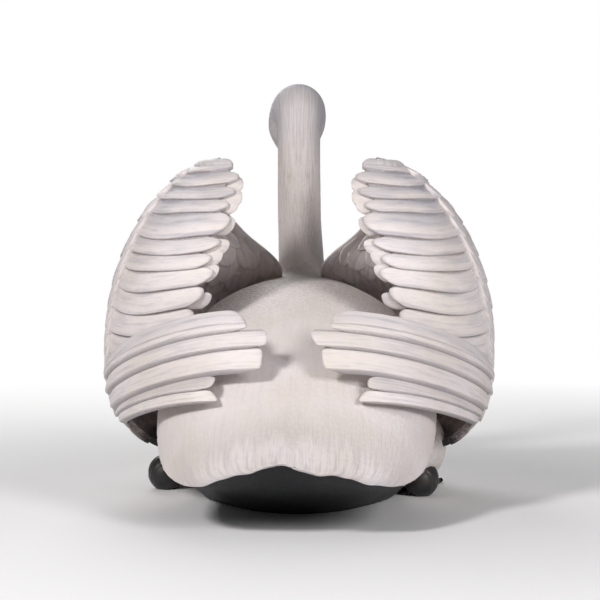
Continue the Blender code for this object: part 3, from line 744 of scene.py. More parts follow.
def thick_relief(base, lift, sink, shaft=0.6 * MM):
    """A thick feather's heights: a cambered pillow with a sunk shaft line and a rounded rim."""
    def heights(a, b):
        top = base + (lift - base) * a**0.8 - 1.6 * MM * b**4
        top = top - shaft * bell(b, 0.0, 0.13) * smoothstep(0.95, 0.7, a)
        inset = np.minimum((1 - np.abs(b)) / 0.14, (1 - a) / 0.05)
        round_edge = np.sqrt(np.clip(1 - (1 - np.clip(inset, 0, 1)) ** 2, 0, 1))
        edge = (np.abs(b) > 0.99) | (a > 0.995) | (a < 0.001)
        return np.where(edge, -sink, top - (1 - round_edge) * 2.2 * MM)[None]
    return heights


def roots(sheet, first, last, step_along, step_across, keep):
    """Staggered root places between two rows of the body, so many metres apart along and across."""
    every = np.arange(sheet.rows)
    start, end = np.interp([first, last], every, sheet.distances)
    found = []
    for number, distance in enumerate(np.arange(start, end, step_along)):
        row = float(np.interp(distance, sheet.distances, every))
        ring = sheet.points[int(round(row))]
        girth = travelled(np.concatenate([ring, ring[:1]]))
        count = max(int(girth[-1] / step_across), 3)
        spots = (np.arange(count) + 0.5 * (number % 2)) * girth[-1] / count
        found.append([np.full(count, row), np.interp(spots, girth, np.arange(sheet.columns + 1))])
    rows, columns = np.concatenate(found, axis=1)
    rows = rows + CHANCE.uniform(-0.25, 0.25, len(rows))
    columns = columns + CHANCE.uniform(-0.25, 0.25, len(rows))
    kept = keep(*sheet.read(rows, columns))
    return rows[kept], columns[kept]


def bake_patches(sheet, rows, columns, shape):
    """A patch for each feather, at its root's place on the skin's unwrap."""
    along = np.interp(rows, np.arange(sheet.rows), sheet.distances / sheet.distances[-1])
    centre = together(np.mod(columns, sheet.columns) / sheet.columns, along)
    a, b = lattice(*shape)
    patch = together(b / 2, a - 0.5) * PATCH
    return np.clip(centre[:, None, None, :] + patch[None], 0.0, 1.0)


def add_small_feathers(batch, sheet, place, size, shape, lift, rounding, wobble, hollow):
    """Small feathers of about that size, with `hollow` giving the wash and painted shade at their tips by
    root.
    """
    count = len(place[0])
    length = size[0] * CHANCE.uniform(0.75, 1.20, count)
    width = size[1] * CHANCE.uniform(0.80, 1.25, count)
    root, normal = sheet.read(*place)
    turn = CHANCE.normal(0.0, wobble, count)
    relief = low_relief(lift(root))
    points, flow = lay(sheet, place, turn, length, width, shape, relief, rounding, on_skin=True)
    tone = body_tones(root, normal)[:, None, None, :] * np.ones(points.shape)
    a, _ = lattice(*shape)
    # Each feather darker at its root, painted shade where it tucks under the feather before it.
    tone[..., 0] += 0.10 * (a < 0.2)
    if hollow is not None:
        amount = hollow(root) * CHANCE.uniform(0.3, 1.0, count)
        tone[..., 0] += amount[:, None, None] * np.where(a > 0.95, 1.0, 0.45 * (a > 0.8))
    batch.add(points, tone, flow, bake_patches(sheet, *place, shape))


def painted_light(points, normals):
    """Where small feathers are moulded: clear of the black underside by a feather's length."""
    lower = points - 0.018 * UP
    return (points[..., 2] > 0.006) & (black_line(lower, normals) < 0.02)


def upper_back(points, normals):
    above = (normals[..., 2] > 0.20) & (points[..., 1] > -0.34) & (points[..., 1] < 0.24)
    return painted_light(points, normals) & above


def lower_flanks(points, normals):
    x, y, z = np.abs(points[..., 0]), points[..., 1], points[..., 2]
    return painted_light(points, normals) & (y > 0.12) & (x > 0.135) & (z < 0.17)


def trunk_lift(points):
    """Clear on the back and the breast, almost worn away on the rump."""
    return MM * (0.70 - 0.58 * smoothstep(-0.02, 0.28, points[..., 1]))


def dashes(points):
    """Wash and painted shade in the hollows between the back's small feathers, fading over the rump."""
    return 0.70 * smoothstep(0.30, 0.04, points[..., 1])


def make_plumage(sheet, material):
    """The small moulded feathers of trunk and tail, and the fine strands of flanks, neck and head."""
    start, neck_foot = row_at(-0.462), row_at(station_of(NECK_FOOT) - 0.02)
    neck_top = row_at(station_of(NECK_TOP))
    kinds = (
        # piece, rows, spacing, where, size, shape, lift, rounding, wobble, wash and painted shade in the
        # hollows
        ("trunk", (start, neck_foot), (0.0100, 0.0112), lambda p, n: painted_light(p, n) & ~upper_back(p, n),
         (0.0190, 0.0135), FINE, trunk_lift, 0.30, 0.22, None),
        ("back", (start, neck_foot), (0.0060, 0.0088), upper_back,
         (0.0118, 0.0104), FINE, trunk_lift, 0.22, 0.16, dashes),
        ("strands", (start, row_at(-0.10)), (0.0120, 0.0058), lower_flanks,
         (0.0340, 0.0038), STRAND, lambda p: 0.90 * MM, 0.20, 0.20, None),
        ("strands", (neck_foot, neck_top), (0.0075, 0.0028), painted_light,
         (0.0190, 0.0028), STRAND, lambda p: 0.58 * MM, 0.20, 0.20, None),
        ("strands", (neck_top, sheet.rows - 2), (0.0048, 0.0026), lambda p, n: lores(p) < 0.02,
         (0.0105, 0.0024), STRAND, lambda p: 0.34 * MM, 0.20, 0.16, None),
    )
    batches = {name: Batch() for name in ("trunk", "back", "strands")}
    for name, rows, spacing, where, *look in kinds:
        add_small_feathers(batches[name], sheet, roots(sheet, *rows, *spacing, where), *look)
    for name, batch in batches.items():
        batch.make("plumage_" + name, material, "cream_paint")


# ---- the wings' surface

# Level, x and y along each rim of the wing's sheet
FRONT_RIM = [
    [0.05, 0.130, -0.100], [0.15, 0.100, -0.200], [0.22, 0.080, -0.240], [0.30, 0.050, -0.210],
    [0.36, 0.033, -0.112], [0.43, 0.098, -0.100], [0.50, 0.142, -0.045], [0.56, 0.125, 0.035],
]
REAR_RIM = [
    [0.05, 0.190, 0.120], [0.20, 0.150, 0.190], [0.31, 0.129, 0.205], [0.42, 0.093, 0.200],
    [0.50, 0.077, 0.170], [0.53, 0.082, 0.145], [0.56, 0.112, 0.100],
]
WIDEST_Y = [[0.05, -0.02], [0.30, 0.0], [0.45, 0.015], [0.56, 0.050]]
SAG = [[0.05, 0.0], [0.22, 0.014], [0.34, 0.026], [0.45, 0.012], [0.56, 0.0]]


def cup_half_width(level):
    """The outer outline of the wing seen from behind: an ellipse above, a fuller one below."""
    height, power = (CUP_RISE, 2) if level > CUP_CENTRE_Z else (CUP_DROP, 3)
    share = min(abs(level - CUP_CENTRE_Z) / height, 1.0)
    return CUP_CENTRE_X + CUP_HALF_WIDTH * (1 - share**power) ** (1 / power)


def cup_point(level, t):
    """A point of the cup's sheet: t runs from the front rim (0) past the widest (0.5) to the tips (1)."""
    front = np.append(through(FRONT_RIM, level)[0], level)
    rear = np.append(through(REAR_RIM, level)[0], level)
    widest = np.array([cup_half_width(level), through(WIDEST_Y, level)[0, 0], level])
    sag = through(SAG, level)[0, 0]
    if t <= 0.5:
        reach = np.linalg.norm(widest - front)
        out = front + 0.50 * reach * np.array([math.cos(0.6), -math.sin(0.6), 0.0])
        back = widest - np.array([0.0, 0.45 * (widest[1] - front[1]), 0.0])
        point = bezier(front, out, back, widest, t * 2)
        point[2] += 0.6 * sag * (1 - t * 2)
        return point
    depth = rear[1] - widest[1]
    span = widest[0] - rear[0]
    back = widest + np.array([0.0, 0.62 * depth, 0.0])
    out = rear + np.array([0.62 * span, 0.06 * span, 0.0])
    share = t * 2 - 1
    point = bezier(widest, back, out, rear, min(share, 1.0))
    if share > 1:
        point = point + (share - 1) * 3 * (rear - out)
    point[2] -= sag * math.sin(math.pi * min(share, 1.0)) * (1.15 - 0.3 * share)
    return point


CUP_LOW, CUP_HIGH = 0.062, 0.562
CUP_LEVELS = np.linspace(CUP_LOW, CUP_HIGH, 120)
CUP_SHARES = np.linspace(0.0, 1.10, 111)


def wing_sheet(side):
    grid = np.array([[cup_point(level, share) for share in CUP_SHARES] for level in CUP_LEVELS])
    return Sheet(mirrored(grid, side), outward=-1.0 * side)


def on_cup(level, share):
    """The wing sheet's rows and columns at levels and shares."""
    rows = (np.asarray(level, float) - CUP_LOW) / (CUP_HIGH - CUP_LOW) * (len(CUP_LEVELS) - 1)
    return rows, np.asarray(share, float) / CUP_SHARES[-1] * (len(CUP_SHARES) - 1)


def cell_map(number, total, s, w, half):
    """Places in a feather's own cell of the bake map; half is 0 for its outer face and 1 for its inner."""
    across = math.ceil(math.sqrt(total))
    corner = np.array([number % across, number // across]) / across
    place = together(0.04 + 0.42 * s + 0.48 * half, 0.05 + 0.90 * w)
    return corner + place / across


def add_slab(batch, surface, proud, depth, tone, flow, cell, s, w):
    """A thick feather, from `proud` over a surface's points to `depth` under: two faces and an edge."""
    point, normal = surface
    outer = point + normal * proud[..., None]
    inner = point - normal * depth[..., None]
    rows, columns = outer.shape[:2]
    i, j = rows // 2, columns // 2
    facing = np.cross(outer[i, j + 1] - outer[i, j], outer[i + 1, j] - outer[i, j])
    if dot(facing, outer[i, j] - inner[i, j]) < 0:
        outer, inner, tone, flow, s, w = (values[:, ::-1] for values in (outer, inner, tone, flow, s, w))
    bakes = [cell_map(*cell, s, w, half) for half in (0, 1)]
    batch.add_one(outer, tone, flow, bakes[0])
    batch.add_one(*(values[::-1] for values in (inner, tone, flow, bakes[1])))
    loop = [(0, j) for j in range(columns - 1)]
    loop += [(i, columns - 1) for i in range(rows - 1)]
    loop += [(rows - 1, j) for j in range(columns - 1, 0, -1)]
    loop += [(i, 0) for i in range(rows - 1, -1, -1)]
    i, j = np.array(loop).T
    maps = (np.stack([values[i, j]] * 2) for values in (tone, flow, bakes[0]))
    batch.add_one(np.stack([inner[i, j], outer[i, j]]), *maps)


# ---- secondaries

VANE_LONG = np.concatenate([np.linspace(0, 0.88, 26), [0.91, 0.94, 0.96, 0.975, 0.987, 0.996, 1.0]])
VANE_WIDE = np.array([
    0, 0.012, 0.03, 0.06, 0.10, 0.16, 0.23, 0.30, 0.36, 0.40, 0.43, 0.46, 0.50, 0.56, 0.64, 0.72, 0.80, 0.90,
    1.0,
])
SECONDARIES = len(SECONDARY_EDGES) - 1
SECONDARY_TIP = 0.962
OVERLAP = 1.38  # a vane's width as a share of the pitch, its upper part lying under the next
INNER_PITCH = 0.031
VANE_LIP, VANE_PILLOW, VANE_DEPTH = 5.5 * MM, 1.3 * MM, 4.5 * MM
INNER_SUNK, INNER_DEPTH = 4.5 * MM, 10.5 * MM


def secondary(batch, sheet, number, upper_haze):
    """One vane of the sail, blunt-tipped, thick and proud at its lower edge, with a sunk shaft line."""
    bottom, pitch = SECONDARY_EDGES[number], SECONDARY_EDGES[number + 1] - SECONDARY_EDGES[number]
    s, w = lattice(VANE_LONG, VANE_WIDE)
    height = number / (SECONDARIES - 1)
    visible = np.clip(w * OVERLAP, 0, 1)
    tip = SECONDARY_TIP + 0.010 * math.sin(number * 2.1)
    root = 0.505 - 0.095 * float(smoothstep(0.72, 0.95, height))
    overlap, blunt = (1.0, 0.26) if number == SECONDARIES - 1 else (OVERLAP, 0.070)
    share = root + (tip - root) * s * (1 - blunt * np.abs(2 * visible - 1) ** 2.6)
    level = bottom + pitch * w * overlap - 0.007 * s**2 * math.sin(math.pi * min(height * 1.1, 1.0))
    level = level + 0.0010 * np.sin(s * 9 + number * 1.7)
    lip = VANE_LIP * (1 - visible)
    pillow = VANE_PILLOW * np.sin(np.pi * visible)
    shaft = 0.36 + 0.05 * math.sin(number * 1.3)
    crease = 1.3 * MM * bell(w, shaft, 0.025) * smoothstep(0.85, 0.45, s) * (number % 4 != 2)
    fold = 1.0 * MM * bell(w - 0.10 * s, 0.13, 0.025) * smoothstep(0.55, 0.1, s) * (number % 3 == 1)
    edge_low, edge_tip = w * OVERLAP * pitch, (1 - s) * 0.24
    proud = lip + pillow - crease - fold - rounded_rim(edge_low, 2.6 * MM) - rounded_rim(edge_tip, 3.6 * MM)
    depth = VANE_DEPTH - rounded_rim(edge_low, 2.0 * MM) - rounded_rim(edge_tip, 2.5 * MM)
    # Painted shade with the wash: a dark band under the next vane's lower edge, and darker along the shaft's
    # crease, the lower lip and the tip's rim.
    wash_and_shade = 0.70 * smoothstep(0.86, 0.985, w * OVERLAP) ** 2
    wash_and_shade = wash_and_shade + 0.16 * bell(w, shaft, 0.03) * smoothstep(0.85, 0.45, s)
    wash_and_shade = wash_and_shade + 0.45 * smoothstep(0.030, 0.0, w) + 0.25 * smoothstep(0.975, 1.0, s)
    haze = upper_haze * smoothstep(0.15, 0.9, visible) * (0.35 + 0.65 * np.sin(np.pi * s))
    haze = haze + 0.30 * bell(w, 0.07, 0.04)
    flow = together(w * pitch + number * 0.3, s * 0.26 + number)
    point, normal = sheet.read(*on_cup(level, share))
    cell = number, SECONDARIES * 2
    add_slab(batch, (point, normal), proud, depth, painted(point.shape, wash_and_shade, haze), flow, cell, s, w)


def inner_tip(batch, sheet, number):
    """The rounded tip of a feather of the inner layer, showing behind the secondaries' tips."""
    s, w = lattice(np.linspace(0, 1, 14) ** 0.7, np.linspace(0, 1, 13))
    size = 0.9 + 0.1 * math.sin(number * 2.9 + 1)
    reach = 1 - 0.10 * np.abs(2 * w - 1) ** 3
    share = 0.80 + (0.181 + 0.005 * math.cos(number * 4.3)) * s * reach
    level = SECONDARY_EDGES[number] + 0.006 * math.sin(number * 1.9) + INNER_PITCH * w * size - 0.010 * s**2
    from_side = np.minimum(w, 1 - w)
    edge = np.minimum(from_side * INNER_PITCH, (1 - s) * 0.06)
    bulge = 2.4 * MM * np.sin(np.pi * w) + 1.2 * MM * bell(w, 0.85, 0.08)
    proud = -INNER_SUNK + bulge - rounded_rim(edge, 2.8 * MM)
    depth = INNER_DEPTH - rounded_rim(edge, 2.2 * MM)
    # Darker towards the root, painted shade under the secondaries, and at the sides.
    wash_and_shade = 0.10 + 0.35 * smoothstep(0.85, 0.55, s) + 0.35 * smoothstep(0.08, 0.0, from_side)
    flow = together(w * INNER_PITCH + number * 0.3, s * 0.05 + number)
    point, normal = sheet.read(*on_cup(level, share))
    cell = SECONDARIES + number, SECONDARIES * 2
    add_slab(batch, (point, normal), proud, depth, painted(point.shape, wash_and_shade), flow, cell, s, w)


def make_secondaries(sheet, name, material):
    batch = Batch()
    for number in range(SECONDARIES):
        secondary(batch, sheet, number, 0.85 * smoothstep(0.35, 0.80, number / (SECONDARIES - 1)) + 0.05)
    for number in range(SECONDARIES - 1):
        inner_tip(batch, sheet, number)
    batch.make(f"secondaries_{name}", material, "wing_paint", (f"wing_{name}_secondaries",))


# ---- primaries

# The lines between the left wing's primaries: the root's level, then the tip's place
PRIMARY_EDGES = [
    [0.207, 0.083, 0.318, 0.315],
    [0.186, 0.048, 0.340, 0.287],
    [0.163, 0.050, 0.352, 0.262],
    [0.139, 0.057, 0.356, 0.226],
    [0.129, 0.130, 0.365, 0.200],
    [0.119, 0.117, 0.370, 0.182],
]
# How much nearer the middle the right wing's tips are
RIGHT_TIPS_IN = (0.020, 0.017, 0.006, 0.003, 0.015, 0.015)
# Each blade's reach along its upper line and its lower one, and how far its corners are rounded
PRIMARY_REACH = (
    (1.0, 0.96, 0.030), (1.02, 1.02, 0.022), (1.01, 1.02, 0.020), (0.84, 1.02, 0.030), (1.03, 1.03, 0.030)
)
PRIMARY_ROOT = 0.555
BLADE_STEP, BLADE_DEPTH = 8.5 * MM, 6.5 * MM
RIDGE = 0.80  # a blade's ridge, as a share of its width
PRIMARY_LONG = np.concatenate([np.linspace(0, 0.90, 30), [0.93, 0.955, 0.972, 0.984, 0.992, 0.997, 1.0]])
PRIMARY_WIDE = np.array([
    0, 0.015, 0.05, 0.12, 0.22, 0.34, 0.46, 0.54, 0.58, 0.60, 0.62, 0.67, 0.73, 0.775, 0.79, 0.80, 0.81, 0.83,
    0.88, 0.94, 0.98, 1.0,
])


def primary_edge(row, shares):
    """Points on one line between primaries, from its root to its tip."""
    root = cup_point(row[0], PRIMARY_ROOT) + np.array([0.003, 0.0, 0.0])
    tip = np.array(row[1:])
    reach = tip - root
    early = 0.15 + 0.20 * (row[0] - 0.119) / 0.088
    leave = root + np.array([0.006, 0.46 * reach[1], early * reach[2]])
    arrive = tip - np.array([0.58 * reach[0], 0.04 * reach[1], 0.04 * reach[2]])
    return bezier(root, leave, arrive, tip, shares[..., None])


def primary(batch, side, number):
    """One blade: a flat lit face down to a crisp ridge, then a bevel that turns in to the next blade."""
    s, f = lattice(PRIMARY_LONG, PRIMARY_WIDE)
    upper_reach, lower_reach, corner = PRIMARY_REACH[number]
    reach = upper_reach + (lower_reach - upper_reach) * f - corner * np.abs(2 * f - 1) ** 4
    reach = reach - 0.030 * smoothstep(RIDGE, 1.0, f)
    upper, lower = (np.array(PRIMARY_EDGES[edge]) for edge in (number, number + 1))
    if side < 0:
        upper[1] -= RIGHT_TIPS_IN[number]
        lower[1] -= RIGHT_TIPS_IN[number + 1]
    upper, lower = (primary_edge(edge, s * reach) for edge in (upper, lower))
    line = upper + (lower - upper) * (f * 1.06 - 0.03)[..., None]
    face = unit(np.cross(np.gradient(line, axis=0), UP))
    width = norm(upper - lower)
    rise = np.minimum(BLADE_STEP, 0.34 * width) * np.interp(f, [0.0, RIDGE, 1.0], [0.0, 1.0, 0.25])
    strip = float(number == 0)
    groove = (0.5 + 1.5 * strip) * MM * bell(f, 0.60, 0.022) * smoothstep(0.02, 0.2, s)
    rise = rise - strip * 1.6 * MM * smoothstep(0.58, 0.62, f) * smoothstep(1.0, 0.80, f)
    hollow = 0.9 * MM * np.sin(np.pi * np.clip(f / RIDGE, 0, 1)) * (1 if number < 3 else 0.4)
    tip_drop = rounded_rim((1 - s) * 0.30, 3.0 * MM)
    depth = BLADE_DEPTH - 0.35 * rise - tip_drop * 0.5
    # Painted shade with the wash: the crease along each blade's upper edge, the bevel under its ridge, greyer
    # as well, and the first blade's groove.
    wash_and_shade = 0.75 * smoothstep(0.09, 0.015, f) * (number > 0) + 0.62 * smoothstep(0.82, 0.96, f)
    wash_and_shade = wash_and_shade + 0.28 * bell(f, 0.60, 0.03) * strip
    haze = 0.30 * smoothstep(RIDGE, 0.86, f) + 0.30 * strip * smoothstep(0.7, 0.3, f)
    flow = together(f * width + number * 0.3, s * 0.35 + number)
    surface = mirrored(line, side), mirrored(face, side)
    proud, tone = rise + hollow - groove - tip_drop, painted(line.shape, wash_and_shade, haze)
    add_slab(batch, surface, proud, depth, tone, flow, (number, len(PRIMARY_REACH)), s, f)


def make_primaries(name, side, material):
    batch = Batch()
    for number in range(len(PRIMARY_REACH)):
        primary(batch, side, number)
    batch.make(f"primaries_{name}", material, "wing_paint", (f"wing_{name}_primaries",))


# ---- arm, coverts and shoulder feathers

ARM_TOP = 0.553
ARM_DEPTH = 10.0 * MM


def make_arm(sheet, name, material):
    """The smooth slab under the coverts, from the front rim to under the secondaries."""
    batch = Batch()
    levels = np.linspace(CUP_LOW + 0.015, ARM_TOP, 70)
    shares = np.concatenate([np.linspace(0.0, 0.62, 60), np.linspace(0.64, 0.90, 14)])
    level, share = lattice(levels, shares)
    share = share - 0.30 * smoothstep(0.505, ARM_TOP, level) * np.maximum(share - 0.50, 0.0)
    thickness = ARM_DEPTH * np.sqrt(np.clip((0.556 - level) / 0.25, 0.05, 1.0))
    upper_part = smoothstep(SECONDARY_EDGES[0] - 0.035, SECONDARY_EDGES[0] - 0.005, level)
    covered = smoothstep(0.50, 0.60, share)
    sunk = (4.0 * upper_part - 2.5 * (1 - upper_part)) * MM * covered
    point, normal = sheet.read(*on_cup(level, share))
    rim = rounded_rim(share * 0.30, 2.5 * MM)
    depth = sunk + (thickness - rim) * (1 - 0.75 * upper_part * covered)
    # Painted shade: brown wash, then black, down the arm's lower part, for the shade under the wing's lower
    # rim.
    wash_and_shade = 0.06 + 0.89 * smoothstep(0.20, 0.11, level)
    tone = painted(point.shape, wash_and_shade, black=0.62 * smoothstep(0.118, 0.082, level))
    flow = together(share * 0.5, level)
    u = share / shares[-1]
    v = (level - levels[0]) / (levels[-1] - levels[0])
    columns = int(np.argmax(shares > 0.575))
    upper = int(np.argmax(levels > SECONDARY_EDGES[0] + 0.008))
    for number, part in enumerate((np.s_[:, :columns], np.s_[upper:, columns - 1:])):
        proud = -(sunk + rim)[part]
        surface = point[part], normal[part]
        add_slab(batch, surface, proud, depth[part], tone[part], flow[part], (number, 2), u[part], v[part])
    batch.make(f"arm_{name}", material, "wing_paint", (f"wing_{name}",))


def thick_row(batch, sheet, place, turn, size, spread, relief, rounding, twist, toner):
    """A row of thick feathers, each overlapping the next. Their sizes and turns vary by spread."""
    count = len(place[0])
    length, width = (value * (1 + spread[0] * CHANCE.uniform(-1, 1, count)) for value in size)
    turn = turn + spread[1] * CHANCE.uniform(-1, 1, count)
    points, flow = lay(sheet, place, turn, length, width, BROAD, relief, rounding, twist)
    a, b = lattice(*BROAD)
    number = np.arange(count)[:, None, None]
    bake = together((number + 0.1 + 0.8 * (b + 1) / 2) / count, 0.02 + 0.9 * a)
    batch.add(points, toner(points, a, b), flow, bake)


def in_bands(batch):
    """Gives each row of feathers its own band of the bake map."""
    total = len(batch.bakes)
    batch.bakes = [(bake + [0, band]) / [1, total] for band, bake in enumerate(batch.bakes)]


# Number, levels, share of the roots, heading, size, base and lift in mm, rounding, haze, wash and painted
# shade on the rim
COVERT_ROWS = (
    (17, (0.196, 0.534), 0.606, 1.52, (0.058, 0.031), (6.5, 11.0), 0.34, 0.00, 0.30),
    (12, (0.160, 0.534), 0.522, 1.42, (0.080, 0.036), (0.5, 7.5), 0.30, 0.60, 0.85),
    (11, (0.140, 0.532), 0.420, 1.05, (0.088, 0.052), (2.5, 8.0), 0.33, 0.60, 0.45),
    (13, (0.135, 0.532), 0.350, 0.80, (0.084, 0.050), (2.5, 7.5), 0.36, 0.45, 0.45),
    (15, (0.128, 0.532), 0.280, 0.62, (0.076, 0.045), (2.5, 7.0), 0.38, 0.35, 0.45),
    (17, (0.120, 0.535), 0.210, 0.50, (0.068, 0.042), (2.5, 6.5), 0.40, 0.25, 0.45),
    (20, (0.110, 0.532), 0.145, 0.35, (0.060, 0.037), (2.5, 6.0), 0.40, 0.20, 0.40),
    (23, (0.108, 0.530), 0.075, 0.25, (0.052, 0.033), (2.0, 5.5), 0.42, 0.15, 0.35),
    (27, (0.106, 0.528), 0.010, 0.10, (0.044, 0.029), (1.0, 5.0), 0.42, 0.10, 0.30),
)
COVERT_WANDER = 0.06


def make_coverts(sheet, name, side, material):
    """Rows of coverts over the outer side, from the secondaries' roots to the front rim."""
    batch = Batch()
    for count, levels, share, heading, size, (base, lift), rounding, haze, rim in COVERT_ROWS:
        spots = np.linspace(*levels, count)
        shrink = np.interp(spots, [0.43, 0.50, 0.546], [1.0, 0.72, 0.34])
        level_haze = haze * smoothstep(0.25, 0.50, spots)[:, None, None]

        def toner(points, a, b):
            z = points[..., 2]
            # Painted shade with the wash: the tip's rim, the sides and the root where the row above lies over
            # it, and brown then black on the lowest coverts under the wing.
            wash_and_shade = rim * (a > 0.992) + 0.32 * (np.abs(b) > 0.985) + 0.22 * smoothstep(0.30, 0.0, a)
            hazed = level_haze * smoothstep(0.35, 0.95, a) + 0.12 * smoothstep(0.8, 1.0, a)
            low = smoothstep(0.150, 0.095, z)
            return painted(points.shape, wash_and_shade + 0.70 * low, hazed, 0.62 * smoothstep(0.104, 0.080, z))

        thick_row(
            batch, sheet, on_cup(spots, np.full(count, share)), side * (math.pi / 2 - heading),
            (size[0] * shrink, size[1] * shrink**0.5), (COVERT_WANDER, side * COVERT_WANDER / 2),
            thick_relief(base * MM, lift * MM, 2.5 * MM), rounding, -side * 0.8 * MM, toner,
        )
    in_bands(batch)
    batch.make(f"coverts_{name}", material, "wing_paint")


SHOULDER_DEPTH = 9.5 * MM
SHOULDER_SIZE = (0.050, 0.030)
SHOULDER_FOOT, SHOULDER_PITCH = 0.315, 0.030
SHOULDER_TOP = ((0.0, 0.1, 0.3, 0.46), (0.42, 0.47, 0.50, 0.50))  # their highest level, by share


def make_shoulder_feathers(sheet, name, side, material):
    """The ragged feathers on the inner face of the arm, hanging down beside the neck."""
    inside = Sheet(sheet.points - sheet.normals * SHOULDER_DEPTH, outward=side)
    batch = Batch()

    def toner(points, a, b):
        # Brown outlines and darker roots: wash and painted shade where each feather meets and tucks under the
        # next.
        edge = (a > 0.992) | (np.abs(b) > 0.985)
        return painted(points.shape, 0.45 * edge + 0.14 * smoothstep(0.5, 0.0, a))

    for number, share in enumerate(np.linspace(0.02, 0.46, 11)):
        foot = SHOULDER_FOOT + 0.014 * ((number + 1) % 2)
        levels = np.arange(foot, float(np.interp(share, *SHOULDER_TOP)), SHOULDER_PITCH)
        thick_row(
            batch, inside, on_cup(levels, np.full(len(levels), share)), -side * 0.15,
            SHOULDER_SIZE, (0.15, -side * 0.22),
            thick_relief(0.5 * MM, 3.2 * MM, 1.0 * MM, 0.4 * MM), 0.45, 0.0, toner,
        )
    in_bands(batch)
    batch.make(f"shoulder_feathers_{name}", material, "wing_paint")


CROWN_FEATHERS = 13
CROWN_LEVEL = 0.5435
CROWN_RADII = (0.0075, 0.0115, 0.0165)


def make_crown(sheet, name, material):
    """The short thick feathers that close the wing's top rim, each overlapping the next."""
    batch = Batch()
    for number, share in enumerate(np.linspace(0.03, 0.90, CROWN_FEATHERS)):
        spot = on_cup([CROWN_LEVEL], [share])
        heart, normal = (value[0] for value in sheet.read(*spot))
        ahead = unit(sheet.blend(sheet.along_rows, *spot)[0])
        rise = unit(np.cross(normal, ahead))
        rise = rise * math.copysign(1.0, rise[2])
        lean = 0.30 + 0.12 * math.sin(number * 2.3)
        long_way = ahead * math.cos(lean) - rise * math.sin(lean)
        wide_way = rise * math.cos(lean) + ahead * math.sin(lean)
        points, fall, turn = ball((0.0, 0.0, 0.0), CROWN_RADII, 0.0, 28, 20)
        bulge = 1 - 0.18 * np.sin(turn) ** 2 * np.cos(fall)
        place = (
            heart - normal * 1.0 * MM + normal * points[..., :1]
            + wide_way * (points[..., 1] * bulge)[..., None] + long_way * points[..., 2:]
        )
        # Darker at each feather's ends, wash and painted shade where it meets the next.
        tone = painted(place.shape, 0.10 + 0.35 * smoothstep(0.90, 1.0, np.abs(np.cos(fall))), 0.35)
        flow = together(points[..., 1] + number * 0.3, points[..., 2])
        bake = together(turn / (2 * np.pi), (number + 0.05 + 0.9 * fall / np.pi) / CROWN_FEATHERS)
        batch.add_one(place, tone, flow, bake, wraps=True)
    batch.make(f"crown_feathers_{name}", material, "wing_paint")


# ---- bill, knob and eyes

# Share along the bill, top, gape and bottom heights, half width
BILL_SECTIONS = [
    [0.00, 0.0255, -0.0105, -0.0250, 0.0220],
    [0.15, 0.0215, -0.0095, -0.0205, 0.0200],
    [0.40, 0.0125, -0.0075, -0.0155, 0.0178],
    [0.65, 0.0060, -0.0065, -0.0135, 0.0184],
    [0.85, 0.0030, -0.0068, -0.0125, 0.0176],
    [0.95, 0.0008, -0.0076, -0.0120, 0.0138],
    [1.00, -0.0040, -0.0088, -0.0112, 0.0075],
]
GAPE_GAP = 0.2 * MM


def bill_frame():
    """Origin and axes of the bill: forwards along it and up, before the head's turn."""
    values = ring_values(LAST_STATION)
    base = np.array([0.0, (values[0] + values[2]) / 2, (values[1] + values[3]) / 2])
    cosine, sine = math.cos(BILL_DROOP), math.sin(BILL_DROOP)
    return base, np.array([0.0, -cosine, -sine]), np.array([0.0, -sine, cosine])


def bill_base():
    return turned(bill_frame()[0][None])[0]


